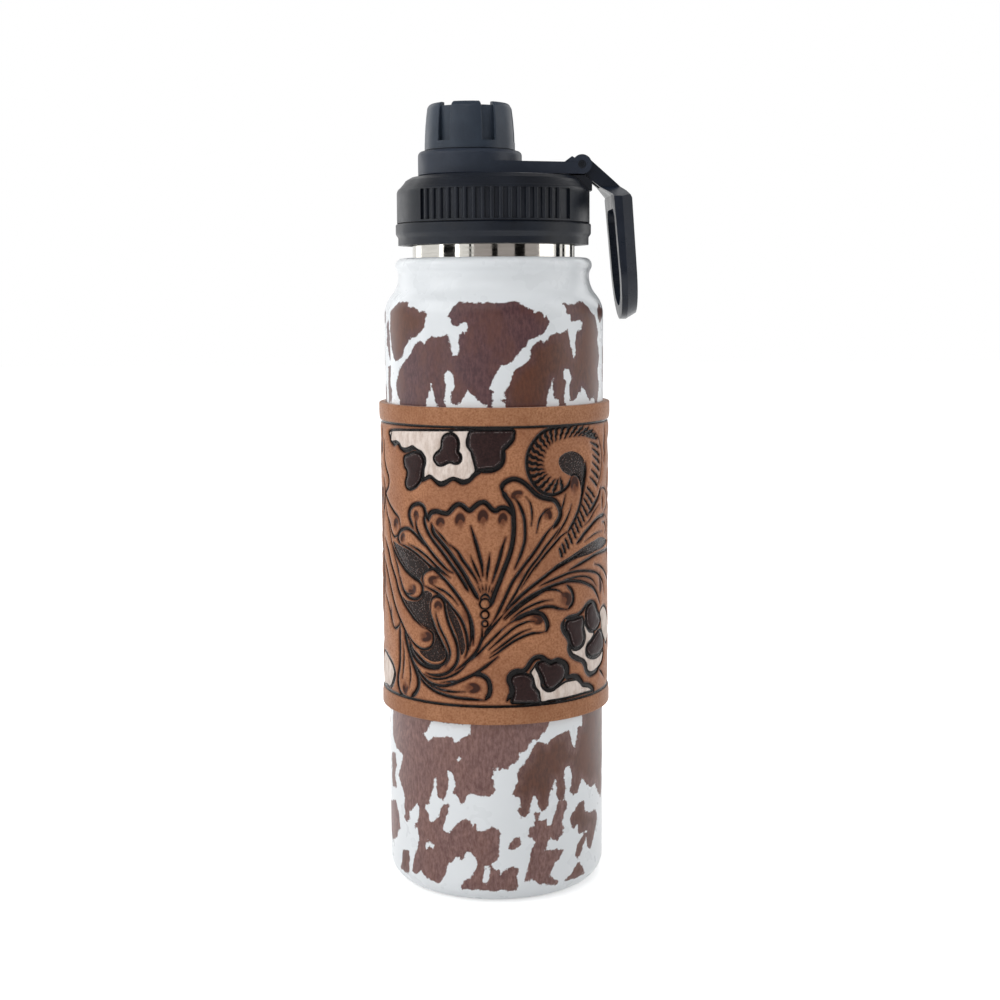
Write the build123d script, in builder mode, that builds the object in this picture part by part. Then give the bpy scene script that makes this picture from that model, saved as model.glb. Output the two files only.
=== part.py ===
from build123d import *
from math import acos, cos, degrees, radians, sin, tan
import os

# Insulated steel bottle with a screw lid, a spout cap on a flip arm, a carry loop and a leather sleeve.
# Millimetres, origin at the centre of the underside, +Z up, the lid's hinge towards +X.

# Clearances shared by every piece
overrun = 1.0
flat_gap = 0.05
seat_gap = 0.3
pin_clearance = 0.08
thread_clearance = 0.4
glue_line = 0.1

# Level of the lid's deck, from which the other levels are measured
deck_height = 237.3

# Painted outer shell
body_radius = 36.5
steel_wall = 0.8
base_rounding = 7.3
standing_ring_width = 2.7
shoulder_drop = 45.2
shoulder_rounding = 9.9
groove_inset = 4.7
groove_radius = body_radius - groove_inset
bead_swell = 0.95
bead_radius = groove_radius + bead_swell
bead_lead_rounding = 3.9
bead_rounding = 2.45

# Pressed base pan with its evacuation port
pan_depth = 2.0
pan_lip_height = 0.2
port_radius = 6.0
port_depth = 0.8
seal_radius = 3.5
getter_radius = 5.0
getter_height = 2.0
getter_offset = 13.0

# Inner vessel and neck
liner_wall = 0.6
vacuum_gap = 3.2
liner_floor = 6.0
liner_corner = 6.0
liner_shoulder_drop = 8.1
liner_shoulder_rounding = 12.0
neck_inset = 4.8
neck_radius = groove_radius - neck_inset
neck_wall = 1.2
neck_insertion = 1.0
rim_drop = 6.3

# Thread between the neck and the lid
lid_lead = 8.0
lid_starts = 2
lid_thread_turns = 1.0
lid_thread_depth = 1.1
lid_thread_base = 2.2
lid_thread_crest = 1.2
thread_root_sink = 0.3
neck_thread_rise = 3.7

# Leather sleeve
sleeve_foot = 61.0
sleeve_top_drop = 28.8
sleeve_thickness = 2.15
sleeve_border = 6.0
tooling_depth = 0.45
carved_line_width = 0.8
seam_width = 0.6
seam_margin_angle = 8.0
stitch_count = 17
stitch_radius = 0.4
stitch_arc = 9.0

# Threaded lid body with its visible flange
flange_drop = 22.4
flange_height = 7.0
lip_height = 2.1
flange_overhang = 5.45
flange_radius = neck_radius + flange_overhang
lip_inset = 0.78
lip_radius = flange_radius - lip_inset
flange_swell_height = 1.9
flange_top_rounding = 0.6
lead_in = 1.0
seam_gap = 0.25
lid_plate_thickness = 1.6
plug_gap = 1.2
plug_radius = neck_radius - neck_wall - plug_gap
plug_wall = 1.2
plug_length = 9.6
lid_floor_thickness = 1.2
gasket_thickness = 0.9

# Ribbed collar
collar_inset = 0.45
collar_radius = flange_radius - collar_inset
collar_wall = 1.6
collar_side_height = 9.55
collar_edge_rounding = 2.2
collar_edge_angle = 58.0
deck_step_inset = 2.3
deck_step_radius = collar_radius - deck_step_inset
deck_edge_inset = 0.6
deck_edge_radius = deck_step_radius - deck_edge_inset
deck_step_height = 0.9
deck_rounding_rise = 1.1
deck_slope_run = 1.9
deck_slope_radius = deck_edge_radius - deck_slope_run
deck_flat_run = 2.0
deck_flat_radius = deck_slope_radius - deck_flat_run
rib_pitch_angle = 5.6
rib_count = 17
rib_radius = 0.8
rib_depth = 0.85
rib_sector_half = 48.5
rib_foot_gap = 0.6
rib_height = 9.7

# Hinge
pivot_inset = 3.0
pivot_x = collar_radius - pivot_inset
pivot_rise = 3.7
hinge_pin_radius = 1.3
pin_dimple_radius = 0.75
pin_dimple_depth = 0.5
knuckle_radius = 3.2
lug_knuckle_radius = 3.0
lug_half_width = 2.4
loop_knuckle_half_width = 4.8
hinge_half_width = 7.5
lug_block_reach_in = 4.4
lug_block_inner_x = pivot_x - lug_block_reach_in
lug_block_reach_out = 3.3
lug_block_outer_x = pivot_x + lug_block_reach_out
lug_block_stand = 0.1
lug_block_drop = 4.9
lug_stem_half = 1.6
lug_stop_drop = 1.75

# Spout
spout_bore = 8.6
spout_tube_wall = 1.6
spout_seat_stand = 0.7
spout_wall = 2.6
spout_radius = spout_bore + spout_wall
spout_seat_step = 1.0
spout_seat_radius = spout_radius + spout_seat_step
spout_flange_step = 1.2
spout_flange_radius = spout_seat_radius + spout_flange_step
spout_thread_depth = 0.8
spout_taper_drop = 7.0
spout_rim_inset = 1.6
spout_rim_radius = spout_radius - spout_rim_inset
spout_rim_wall = 1.4
spout_rim_height = 15.7
spout_rim_rounding = 0.6
spout_lip_height = 2.0

# Bore and skirt of the spout cap, and the arm's ring round them
cap_bore_gap = 1.0
cap_bore_radius = spout_radius + cap_bore_gap
cap_skirt_thickness = 2.1
cap_skirt_radius = cap_bore_radius + cap_skirt_thickness
ring_width = 2.9
ring_radius = cap_skirt_radius + ring_width
ring_margin = 0.36
cap_axis_x = ring_radius + ring_margin - deck_flat_radius

# Flip arm
ring_rise = 8.3
ring_top_rounding = 1.5
ring_lower_rounding = 0.4
arm_gap = 0.6
arm_thickness = 3.8
arm_ramp_start = 5.9
arm_ramp_peak = 3.3
arm_ramp_rise = 1.9
arm_slot_length = 8.6
arm_ear_clearance = 0.2

# Spout cap
cap_skirt_wall = 0.8
cap_ring_gap = 0.4
cap_foot_flare = 0.65
cap_foot_radius = cap_skirt_radius + cap_foot_flare
cap_waist_inset = 0.25
cap_waist_radius = cap_foot_radius - cap_waist_inset
cap_waist_height = 7.0
cap_brow_inset = 0.9
cap_brow_radius = cap_foot_radius - cap_brow_inset
cap_brow_height = 6.2
cap_brow_drop = 1.7
cap_top_inset = 1.35
cap_top_radius = cap_brow_radius - cap_top_inset
cap_crown_drop = 1.2
cap_crown_inset = 1.3
cap_crown_radius = cap_top_radius - cap_crown_inset
cap_roof_thickness = 2.1
cap_rise = 2.0
grip_slots = 6
grip_slot_width = 4.3
grip_slot_depth = 2.0
grip_slot_floor = cap_foot_radius - grip_slot_depth
grip_slot_rise = 2.4
grip_slot_rounding = 0.4
grip_slot_start_angle = -66.0

# Threaded cup inside the cap, its seal and its retaining ring
cup_wall = 0.6
cup_headroom = 1.5
cup_step_height = 1.3
cap_lead = 4.0
cap_thread_turns = 1.0
cap_thread_base = 1.2
cap_thread_crest = 0.6
cup_thread_depth = 0.45
retainer_overhang = 0.8
retainer_radius = cap_skirt_radius + retainer_overhang
retainer_height = 2.0
retainer_gap = 0.9
cap_gasket_gap = 0.1

# Carry loop: side view from the pivot outwards, then its front view
loop_strap_angle = 41.5
loop_strap_length = 12.9
loop_strap_under_reach = 1.1
loop_strap_under_x = pivot_x + loop_strap_under_reach
loop_strap_under_drop = 3.15
loop_fork_length = 9.6
loop_shoulder_reach = 14.4
loop_shoulder_x = pivot_x + loop_shoulder_reach
loop_shoulder_drop = 8.7
loop_limb_outer_reach = 15.8
loop_limb_outer_x = pivot_x + loop_limb_outer_reach
loop_limb_outer_drop = 11.2
loop_tip_outer_reach = 18.6
loop_tip_outer_x = pivot_x + loop_tip_outer_reach
loop_tip_inner_reach = 13.3
loop_tip_inner_x = pivot_x + loop_tip_inner_reach
loop_drop = 50.7
loop_bend_inner_reach = 9.6
loop_bend_inner_x = pivot_x + loop_bend_inner_reach
loop_bend_inner_drop = 10.1
loop_half_width = 16.0
loop_limb_width = 4.5
loop_neck_drop = 7.1
loop_spread_drop = 10.7
loop_window_drop = 14.5
loop_window_corner = 4.0
loop_bevel_depth = 2.0
loop_bevel_width = 3.4
strap_slot_clearance = 0.3

# Sizes that follow from the ones above
shoulder_foot = deck_height - shoulder_drop
liner_shoulder_foot = shoulder_foot - liner_shoulder_drop
rim_height = deck_height - rim_drop
flange_foot = deck_height - flange_drop
neck_thread_foot = flange_foot + neck_thread_rise
sleeve_top = shoulder_foot - sleeve_top_drop
shoulder_angle = degrees(acos(1 - (body_radius - groove_radius) / (2 * shoulder_rounding)))
bead_angle = degrees(acos(1 - (bead_radius - groove_radius) / (bead_lead_rounding + bead_rounding)))
groove_height = shoulder_foot + 2 * shoulder_rounding * sin(radians(shoulder_angle))
bead_height = groove_height + (bead_lead_rounding + bead_rounding) * sin(radians(bead_angle))
bead_top = bead_height + bead_rounding
pan_radius = body_radius - base_rounding - standing_ring_width
liner_radius = body_radius - steel_wall - vacuum_gap
liner_neck_radius = neck_radius - neck_wall
neck_foot = bead_top - neck_insertion

collar_bore = collar_radius - collar_wall
collar_foot = flange_foot + flange_height + seam_gap
lid_thread_root = neck_radius + lid_thread_depth + thread_clearance
lid_plate_foot = rim_height + gasket_thickness + 2 * flat_gap
lid_plate_top = lid_plate_foot + lid_plate_thickness
plug_foot = lid_plate_foot - plug_length
lid_floor_foot = plug_foot - lid_floor_thickness
deck_underside = deck_height - collar_wall
lid_thread_shift = lid_lead / lid_starts / 2
spout_tube_radius = spout_bore + spout_tube_wall

pivot_height = deck_height + pivot_rise
lug_block_height = deck_height + lug_block_stand
lug_block_foot = deck_height - lug_block_drop
ring_top = deck_height + ring_rise
arm_underside = deck_height + arm_gap
arm_top = arm_underside + arm_thickness
retainer_foot = deck_height + retainer_gap
spout_rim_level = deck_height + spout_rim_height
spout_taper_foot = spout_rim_level - spout_taper_drop
spout_taper_top = spout_rim_level - spout_lip_height
cap_foot = ring_top + cap_ring_gap
cap_waist_level = cap_foot + cap_waist_height
cap_brow_level = spout_rim_level + cap_brow_height
cap_top = cap_brow_level + cap_brow_drop
cap_crown_level = cap_top - cap_crown_drop
cap_roof = cap_crown_level - cap_roof_thickness
grip_slot_foot = cap_foot + grip_slot_rise
cup_ceiling = spout_rim_level + cup_headroom
cup_radius = cap_skirt_radius - cap_skirt_wall
cup_bore = cup_radius - cup_wall
cup_upper_bore = cap_bore_radius - cup_wall
retainer_top = retainer_foot + retainer_height
ring_foot = deck_height + seat_gap
ring_shoulder = retainer_top + cap_rise + seat_gap
ring_bore = cap_skirt_radius + seat_gap
ring_lower_bore = retainer_radius + seat_gap
arm_ear_inner = loop_knuckle_half_width + arm_ear_clearance
loop_ear_inner = lug_half_width + arm_ear_clearance
eye_radius = hinge_pin_radius + pin_clearance
slot_sweep_radius = lug_knuckle_radius + 2 * strap_slot_clearance

arm_reach = Vector(pivot_x - cap_axis_x, hinge_half_width)
arm_tangent = arm_reach.get_signed_angle(Vector(1, 0)) + degrees(acos(ring_radius / arm_reach.length))
cap_axis = Axis((cap_axis_x, 0, 0), (0, 0, 1))
cap_section = Plane(origin=(cap_axis_x, 0, 0), x_dir=(1, 0, 0), z_dir=(0, -1, 0))


def cap_level(height):
    """Level plane on the cap's axis."""
    return Plane(origin=(cap_axis_x, 0, height), x_dir=(1, 0, 0), z_dir=(0, 0, 1))


def shell_solid(inset):
    """Solid under the painted surface moved inwards by the inset."""
    with BuildPart() as solid:
        with BuildSketch(Plane.XZ):
            with BuildLine():
                floor = Line((0, inset), (body_radius - base_rounding, inset))
                edge = JernArc(floor @ 1, (1, 0), base_rounding - inset, 90)
                side = Line(edge @ 1, (body_radius - inset, shoulder_foot))
                out = JernArc(side @ 1, (0, 1), shoulder_rounding - inset, shoulder_angle)
                back = JernArc(out @ 1, out % 1, shoulder_rounding + inset, -shoulder_angle)
                lead = JernArc(back @ 1, (0, 1), bead_lead_rounding + inset, -bead_angle)
                bead = JernArc(lead @ 1, lead % 1, bead_rounding - inset, bead_angle + 90)
                top = Line(bead @ 1, (0, bead_top - inset))
                Line(top @ 1, floor @ 0)
            make_face()
        revolve(axis=Axis.Z)
    return solid.part


def vessel_solid(radius, floor_height, corner, rounding, throat):
    """Solid under a vessel's surface: floor, side, shoulder and throat up to past the rim."""
    turn = degrees(acos(1 - (radius - throat) / (2 * liner_shoulder_rounding)))
    with BuildPart() as solid:
        with BuildSketch(Plane.XZ):
            with BuildLine():
                floor = Line((0, floor_height), (radius - corner, floor_height))
                edge = JernArc(floor @ 1, (1, 0), corner, 90)
                side = Line(edge @ 1, (radius, liner_shoulder_foot))
                out = JernArc(side @ 1, (0, 1), rounding, turn)
                back = JernArc(out @ 1, out % 1, 2 * liner_shoulder_rounding - rounding, -turn)
                neck = Line(back @ 1, (throat, rim_height + overrun))
                top = Line(neck @ 1, (0, rim_height + overrun))
                Line(top @ 1, floor @ 0)
            make_face()
        revolve(axis=Axis.Z)
    return solid.part


def thread_ridge(root, depth, base, crest, lead, turns, foot):
    """One helical ridge on the Z axis; a negative depth points inwards."""
    outwards = 1 if depth > 0 else -1
    with BuildPart() as ridge:
        with BuildLine() as path:
            Helix(lead, lead * turns, root, center=(0, 0, foot))
        with BuildSketch(Plane(origin=path.line @ 0, x_dir=(1, 0, 0), z_dir=path.line % 0)):
            Polygon(
                (-outwards * thread_root_sink, -base / 2),
                (depth, -crest / 2),
                (depth, crest / 2),
                (-outwards * thread_root_sink, base / 2),
                align=None,
            )
        sweep(path=path.line, is_frenet=True)
    return ridge.part


def tube(outer, inner, foot, top):
    """Plain tube on the Z axis."""
    with BuildPart() as sleeve:
        with BuildSketch(Plane.XY.offset(foot)):
            Circle(outer)
            Circle(inner, mode=Mode.SUBTRACT)
        extrude(amount=top - foot)
    return sleeve.part


# Outer shell: drawn steel skin, open at the neck and at the base pan
shell_skin = shell_solid(0)
shell_cavity = shell_solid(steel_wall)
with BuildPart() as outer_shell:
    add(shell_skin)
    add(shell_cavity, mode=Mode.SUBTRACT)
    with BuildSketch(Plane.XY.offset(-overrun)):
        Circle(pan_radius)
    extrude(amount=2 * overrun + steel_wall, mode=Mode.SUBTRACT)
    with BuildSketch(Plane.XY.offset(bead_top - 2 * steel_wall)):
        Circle(neck_radius)
    extrude(amount=3 * steel_wall, mode=Mode.SUBTRACT)

# Base pan: shallow pressing welded into the shell, with a dimple for the evacuation port
with BuildPart() as base_pan:
    with BuildSketch(Plane.XZ):
        Polygon(
            (0, pan_depth + port_depth),
            (port_radius, pan_depth + port_depth),
            (port_radius, pan_depth),
            (pan_radius - steel_wall, pan_depth),
            (pan_radius - steel_wall, pan_lip_height),
            (pan_radius, pan_lip_height),
            (pan_radius, pan_depth + steel_wall),
            (port_radius + steel_wall, pan_depth + steel_wall),
            (port_radius + steel_wall, pan_depth + port_depth + steel_wall),
            (0, pan_depth + port_depth + steel_wall),
            align=None,
        )
    revolve(axis=Axis.Z)

# Sealing button over the evacuation port
with BuildPart() as vacuum_seal:
    with BuildSketch(Plane.XY.offset(pan_depth)):
        Circle(seal_radius)
    extrude(amount=port_depth)
    fillet(vacuum_seal.edges().sort_by(Axis.Z)[0], port_depth / 2)

# Getter pill in the vacuum space, on the base pan
with BuildPart() as getter:
    with BuildSketch(Plane(origin=(getter_offset, 0, pan_depth + steel_wall), z_dir=(0, 0, 1))):
        Circle(getter_radius)
    extrude(amount=getter_height)
    chamfer(getter.edges().sort_by(Axis.Z)[-1], getter_height / 4)

# Inner vessel that holds the drink
liner_skin = vessel_solid(
    liner_radius, liner_floor, liner_corner, liner_shoulder_rounding, liner_neck_radius
)
liner_hollow = vessel_solid(
    liner_radius - liner_wall,
    liner_floor + liner_wall,
    liner_corner - liner_wall,
    liner_shoulder_rounding - liner_wall,
    liner_neck_radius - liner_wall,
)
with BuildPart() as inner_liner:
    add(liner_skin)
    add(liner_hollow, mode=Mode.SUBTRACT)
    with BuildSketch(Plane.XY.offset(rim_height)):
        Circle(body_radius)
    extrude(amount=2 * overrun, mode=Mode.SUBTRACT)

# Bare steel neck with its outside thread
neck_tube = tube(neck_radius, liner_neck_radius, neck_foot, rim_height)
neck_ridge = thread_ridge(
    neck_radius,
    lid_thread_depth,
    lid_thread_base,
    lid_thread_crest,
    lid_lead,
    lid_thread_turns,
    neck_thread_foot,
)
with BuildPart() as neck_ring:
    add(neck_tube)
    with PolarLocations(0, lid_starts):
        add(neck_ridge)

# Leather sleeve: one strip wrapped round the shell, its ends meeting at the back
sleeve_bore = body_radius + glue_line
sleeve_radius = sleeve_bore + sleeve_thickness
tooled_radius = sleeve_radius - tooling_depth
carved_radius = tooled_radius - tooling_depth
sleeve_tube = tube(sleeve_radius, sleeve_bore, sleeve_foot, sleeve_top)
with BuildPart() as leather_sleeve:
    add(sleeve_tube)
    with BuildSketch(Plane.XZ.rotated((0, 0, 90 + seam_margin_angle))):
        Polygon(
            (carved_radius, sleeve_foot + sleeve_border),
            (sleeve_radius + overrun, sleeve_foot + sleeve_border),
            (sleeve_radius + overrun, sleeve_top - sleeve_border),
            (carved_radius, sleeve_top - sleeve_border),
            (carved_radius, sleeve_top - sleeve_border - carved_line_width),
            (tooled_radius, sleeve_top - sleeve_border - carved_line_width),
            (tooled_radius, sleeve_foot + sleeve_border + carved_line_width),
            (carved_radius, sleeve_foot + sleeve_border + carved_line_width),
            align=None,
        )
    revolve(axis=Axis.Z, revolution_arc=360 - 2 * seam_margin_angle, mode=Mode.SUBTRACT)
    with BuildSketch(Plane.XY.offset(sleeve_foot - overrun)):
        with Locations((0, sleeve_radius)):
            Rectangle(seam_width, 2 * sleeve_thickness + overrun)
    extrude(amount=sleeve_top - sleeve_foot + 2 * overrun, mode=Mode.SUBTRACT)

# Stitches across the sleeve's seam
stitch_pitch = (sleeve_top - sleeve_foot - sleeve_border) / (stitch_count - 1)
stitch_orbit = sleeve_radius + stitch_radius + glue_line
with BuildPart() as seam_stitches:
    for stitch in range(stitch_count):
        stitch_height = sleeve_foot + sleeve_border / 2 + stitch * stitch_pitch
        with BuildSketch(Plane.XZ.rotated((0, 0, 90 - stitch_arc / 2))):
            with Locations((stitch_orbit, stitch_height)):
                Circle(stitch_radius)
        revolve(axis=Axis.Z, revolution_arc=stitch_arc)

# Lid body: thread, flange, top plate and the plug that reaches into the mouth
lid_ridge = thread_ridge(
    lid_thread_root,
    -lid_thread_depth,
    lid_thread_base,
    lid_thread_crest,
    lid_lead,
    lid_thread_turns,
    neck_thread_foot + lid_thread_shift - lid_lead / lid_starts,
)
with BuildPart() as lid_body:
    with BuildSketch(Plane.XZ):
        with BuildLine():
            inside = Line(
                (lid_thread_root + lead_in, flange_foot),
                (lip_radius, flange_foot),
            )
            lip = Line(inside @ 1, (lip_radius, flange_foot + lip_height))
            swell = Spline(
                lip @ 1,
                (flange_radius, flange_foot + lip_height + flange_swell_height),
                tangents=[(0, 1), (0, 1)],
            )
            brow = Line(swell @ 1, (flange_radius, flange_foot + flange_height - flange_top_rounding))
            turn = JernArc(brow @ 1, (0, 1), flange_top_rounding, 90)
            Polyline(
                turn @ 1,
                (collar_bore, flange_foot + flange_height),
                (collar_bore, lid_plate_foot),
                (collar_bore - collar_wall, lid_plate_top),
                (0, lid_plate_top),
                (0, lid_plate_foot),
                (plug_radius - plug_wall, lid_plate_foot),
                (plug_radius - plug_wall, plug_foot),
                (plug_radius, plug_foot),
                (plug_radius, lid_plate_foot),
                (lid_thread_root, lid_plate_foot),
                (lid_thread_root, flange_foot + lead_in),
                inside @ 0,
            )
        make_face()
    revolve(axis=Axis.Z)
    with PolarLocations(0, lid_starts):
        add(lid_ridge)
    with BuildSketch(cap_level(lid_plate_foot - overrun)):
        Circle(spout_tube_radius)
    extrude(amount=lid_plate_thickness + 2 * overrun, mode=Mode.SUBTRACT)

# Foam disc inside the plug
with BuildPart() as lid_insulation:
    with BuildSketch(Plane.XY.offset(plug_foot)):
        Circle(plug_radius - plug_wall - glue_line)
        with Locations((cap_axis_x, 0)):
            Circle(spout_tube_radius + glue_line, mode=Mode.SUBTRACT)
    extrude(amount=plug_length - glue_line)

# Floor plate that closes the plug
with BuildPart() as lid_floor:
    with BuildSketch(Plane.XY.offset(lid_floor_foot)):
        Circle(plug_radius)
        with Locations((cap_axis_x, 0)):
            Circle(spout_tube_radius, mode=Mode.SUBTRACT)
    extrude(amount=lid_floor_thickness)
    fillet(lid_floor.edges().group_by(Axis.Z)[0].sort_by(SortBy.LENGTH)[-1], lid_floor_thickness / 2)

# Ring seal between the rim and the lid body
lid_gasket_tube = tube(
    lid_thread_root - seat_gap,
    plug_radius + seat_gap,
    rim_height + flat_gap,
    rim_height + flat_gap + gasket_thickness,
)
with BuildPart() as lid_gasket:
    add(lid_gasket_tube)
    fillet(lid_gasket.edges(), gasket_thickness / 3)

# Ribbed collar with the deck and the hinge lug
collar_side_top = collar_foot + collar_side_height
deck_step_foot = deck_height - deck_rounding_rise - deck_step_height - seat_gap
rib_span = rib_pitch_angle * (rib_count - 1)
with BuildPart() as lid_collar:
    with BuildSketch(Plane.XZ):
        with BuildLine():
            side = Line((collar_radius, collar_foot), (collar_radius, collar_side_top))
            edge = JernArc(side @ 1, (0, 1), collar_edge_rounding, collar_edge_angle)
            Polyline(
                edge @ 1,
                (deck_step_radius, deck_step_foot),
                (deck_edge_radius, deck_step_foot + deck_step_height),
                (deck_slope_radius, deck_height - seat_gap),
                (deck_flat_radius, deck_height),
                (0, deck_height),
                (0, deck_underside),
                (deck_slope_radius - collar_wall, deck_underside),
                (collar_bore - collar_wall, lid_plate_top),
                (collar_bore, lid_plate_foot),
                (collar_bore, collar_foot),
                side @ 0,
            )
        make_face()
    revolve(axis=Axis.Z)
    for facing in (-90, 90):
        with BuildSketch(Plane.XY.offset(collar_foot + rib_foot_gap)):
            Circle(collar_radius + overrun)
            Circle(collar_radius - rib_depth, mode=Mode.SUBTRACT)
            with Locations(Rotation(0, 0, facing)):
                Polygon(
                    (0, 0),
                    (2 * collar_radius, -2 * collar_radius * tan(radians(rib_sector_half))),
                    (2 * collar_radius, 2 * collar_radius * tan(radians(rib_sector_half))),
                    align=None,
                    mode=Mode.INTERSECT,
                )
        extrude(amount=rib_height, mode=Mode.SUBTRACT)
        with BuildSketch(Plane.XY.offset(collar_foot + rib_foot_gap)):
            with PolarLocations(
                collar_radius - rib_radius,
                rib_count,
                start_angle=facing - rib_span / 2,
                angular_range=rib_span,
            ):
                Circle(rib_radius)
        extrude(amount=rib_height)
    with BuildSketch(Plane.XZ):
        Polygon(
            (lug_block_inner_x, lug_block_foot),
            (lug_block_inner_x, lug_block_height),
            (loop_strap_under_x - seat_gap, lug_block_height),
            (lug_block_outer_x, lug_block_height - lug_stop_drop),
            (lug_block_outer_x, lug_block_foot),
            align=None,
        )
    extrude(amount=hinge_half_width, both=True)
    with BuildSketch(Plane.XZ):
        with Locations((pivot_x, pivot_height)):
            Circle(lug_knuckle_radius)
        Polygon(
            (pivot_x - lug_knuckle_radius, pivot_height),
            (pivot_x + lug_stem_half, pivot_height),
            (pivot_x + lug_stem_half / 2, lug_block_foot),
            (lug_block_inner_x, lug_block_foot),
            align=None,
        )
    extrude(amount=lug_half_width, both=True)
    with BuildSketch(Plane.XZ):
        Polygon(
            (0, lug_block_foot - overrun),
            (collar_bore, lug_block_foot - overrun),
            (collar_bore, lid_plate_foot),
            (collar_bore - collar_wall, lid_plate_top),
            (0, lid_plate_top),
            align=None,
        )
    revolve(axis=Axis.Z, mode=Mode.SUBTRACT)
    with BuildSketch(cap_level(deck_underside - overrun)):
        Circle(spout_seat_radius)
    extrude(amount=collar_wall + 2 * overrun, mode=Mode.SUBTRACT)
    with BuildSketch(Plane.XZ):
        with Locations((pivot_x, pivot_height)):
            Circle(hinge_pin_radius)
    extrude(amount=hinge_half_width, both=True, mode=Mode.SUBTRACT)

# Hinge pin, flush with the arm's ears and dimpled at both ends
with BuildPart() as hinge_pin:
    with BuildSketch(Plane.XZ):
        with Locations((pivot_x, pivot_height)):
            Circle(hinge_pin_radius)
    extrude(amount=hinge_half_width, both=True)
    for pin_face in (Plane.XZ.offset(hinge_half_width), Plane.XZ.offset(-hinge_half_width)):
        with BuildSketch(pin_face):
            with Locations((pivot_x, pivot_height)):
                Circle(pin_dimple_radius)
        extrude(amount=pin_dimple_depth, both=True, mode=Mode.SUBTRACT)

# Spout: tube through the lid, clamped flange and threaded drinking mouth
spout_ridge = thread_ridge(
    spout_radius,
    spout_thread_depth,
    cap_thread_base,
    cap_thread_crest,
    cap_lead,
    cap_thread_turns,
    deck_height + spout_seat_stand + cap_thread_base,
)
with BuildPart() as spout:
    with BuildSketch(cap_section):
        Polygon(
            (spout_bore, lid_floor_foot),
            (spout_tube_radius, lid_floor_foot),
            (spout_tube_radius, lid_plate_top),
            (spout_flange_radius, lid_plate_top),
            (spout_flange_radius, deck_underside),
            (spout_seat_radius, deck_underside),
            (spout_seat_radius, deck_height + spout_seat_stand),
            (spout_radius, deck_height + spout_seat_stand),
            (spout_radius, spout_taper_foot),
            (spout_rim_radius, spout_taper_top),
            (spout_rim_radius, spout_rim_level),
            (spout_rim_radius - spout_rim_wall, spout_rim_level),
            (spout_rim_radius - spout_rim_wall, spout_taper_top),
            (spout_bore, spout_taper_foot),
            align=None,
        )
    revolve(axis=cap_axis)
    fillet(spout.edges().group_by(Axis.Z)[-1], spout_rim_rounding)
    with Locations((cap_axis_x, 0)):
        add(spout_ridge)

# Flip arm: stepped ring that carries the cap, arm and the two outer hinge ears
arm_slot_end_x = pivot_x - arm_slot_length
tangent_x = cap_axis_x + ring_radius * cos(radians(arm_tangent))
tangent_y = ring_radius * sin(radians(arm_tangent))
with BuildPart() as cap_arm:
    with BuildSketch(cap_level(ring_foot)):
        Circle(ring_radius)
    extrude(amount=ring_top - ring_foot)
    fillet(cap_arm.edges().group_by(Axis.Z)[-1], ring_top_rounding)
    fillet(cap_arm.edges().group_by(Axis.Z)[0], ring_lower_rounding)
    with BuildSketch(Plane.XY.offset(arm_underside)):
        Polygon(
            (tangent_x, -tangent_y),
            (pivot_x, -hinge_half_width),
            (pivot_x, hinge_half_width),
            (tangent_x, tangent_y),
            align=None,
        )
    extrude(amount=arm_top - arm_underside)
    with BuildSketch(Plane.XZ):
        with Locations((pivot_x, pivot_height)):
            Circle(knuckle_radius)
        Polygon(
            (pivot_x - arm_ramp_start, arm_top),
            (pivot_x - arm_ramp_start, arm_underside),
            (pivot_x, arm_underside),
            (pivot_x, arm_top),
            (pivot_x - arm_ramp_peak / 2, arm_top + arm_ramp_rise / 2),
            (pivot_x - arm_ramp_peak, arm_top + arm_ramp_rise),
            align=None,
        )
    extrude(amount=hinge_half_width, both=True)
    with BuildSketch(Plane.XY.offset(arm_underside - overrun)):
        Polygon(
            (arm_slot_end_x, -arm_ear_inner),
            (pivot_x + 2 * knuckle_radius, -arm_ear_inner),
            (pivot_x + 2 * knuckle_radius, arm_ear_inner),
            (arm_slot_end_x, arm_ear_inner),
            align=None,
        )
    extrude(amount=4 * knuckle_radius, mode=Mode.SUBTRACT)
    with BuildSketch(cap_level(ring_foot - overrun)):
        Circle(ring_bore)
    extrude(amount=ring_top - ring_foot + 2 * overrun, mode=Mode.SUBTRACT)
    with BuildSketch(cap_level(ring_foot - overrun)):
        Circle(ring_lower_bore)
    extrude(amount=ring_shoulder - ring_foot + overrun, mode=Mode.SUBTRACT)
    with BuildSketch(Plane.XZ):
        with Locations((pivot_x, pivot_height)):
            Circle(eye_radius)
    extrude(amount=hinge_half_width + overrun, both=True, mode=Mode.SUBTRACT)

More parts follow.
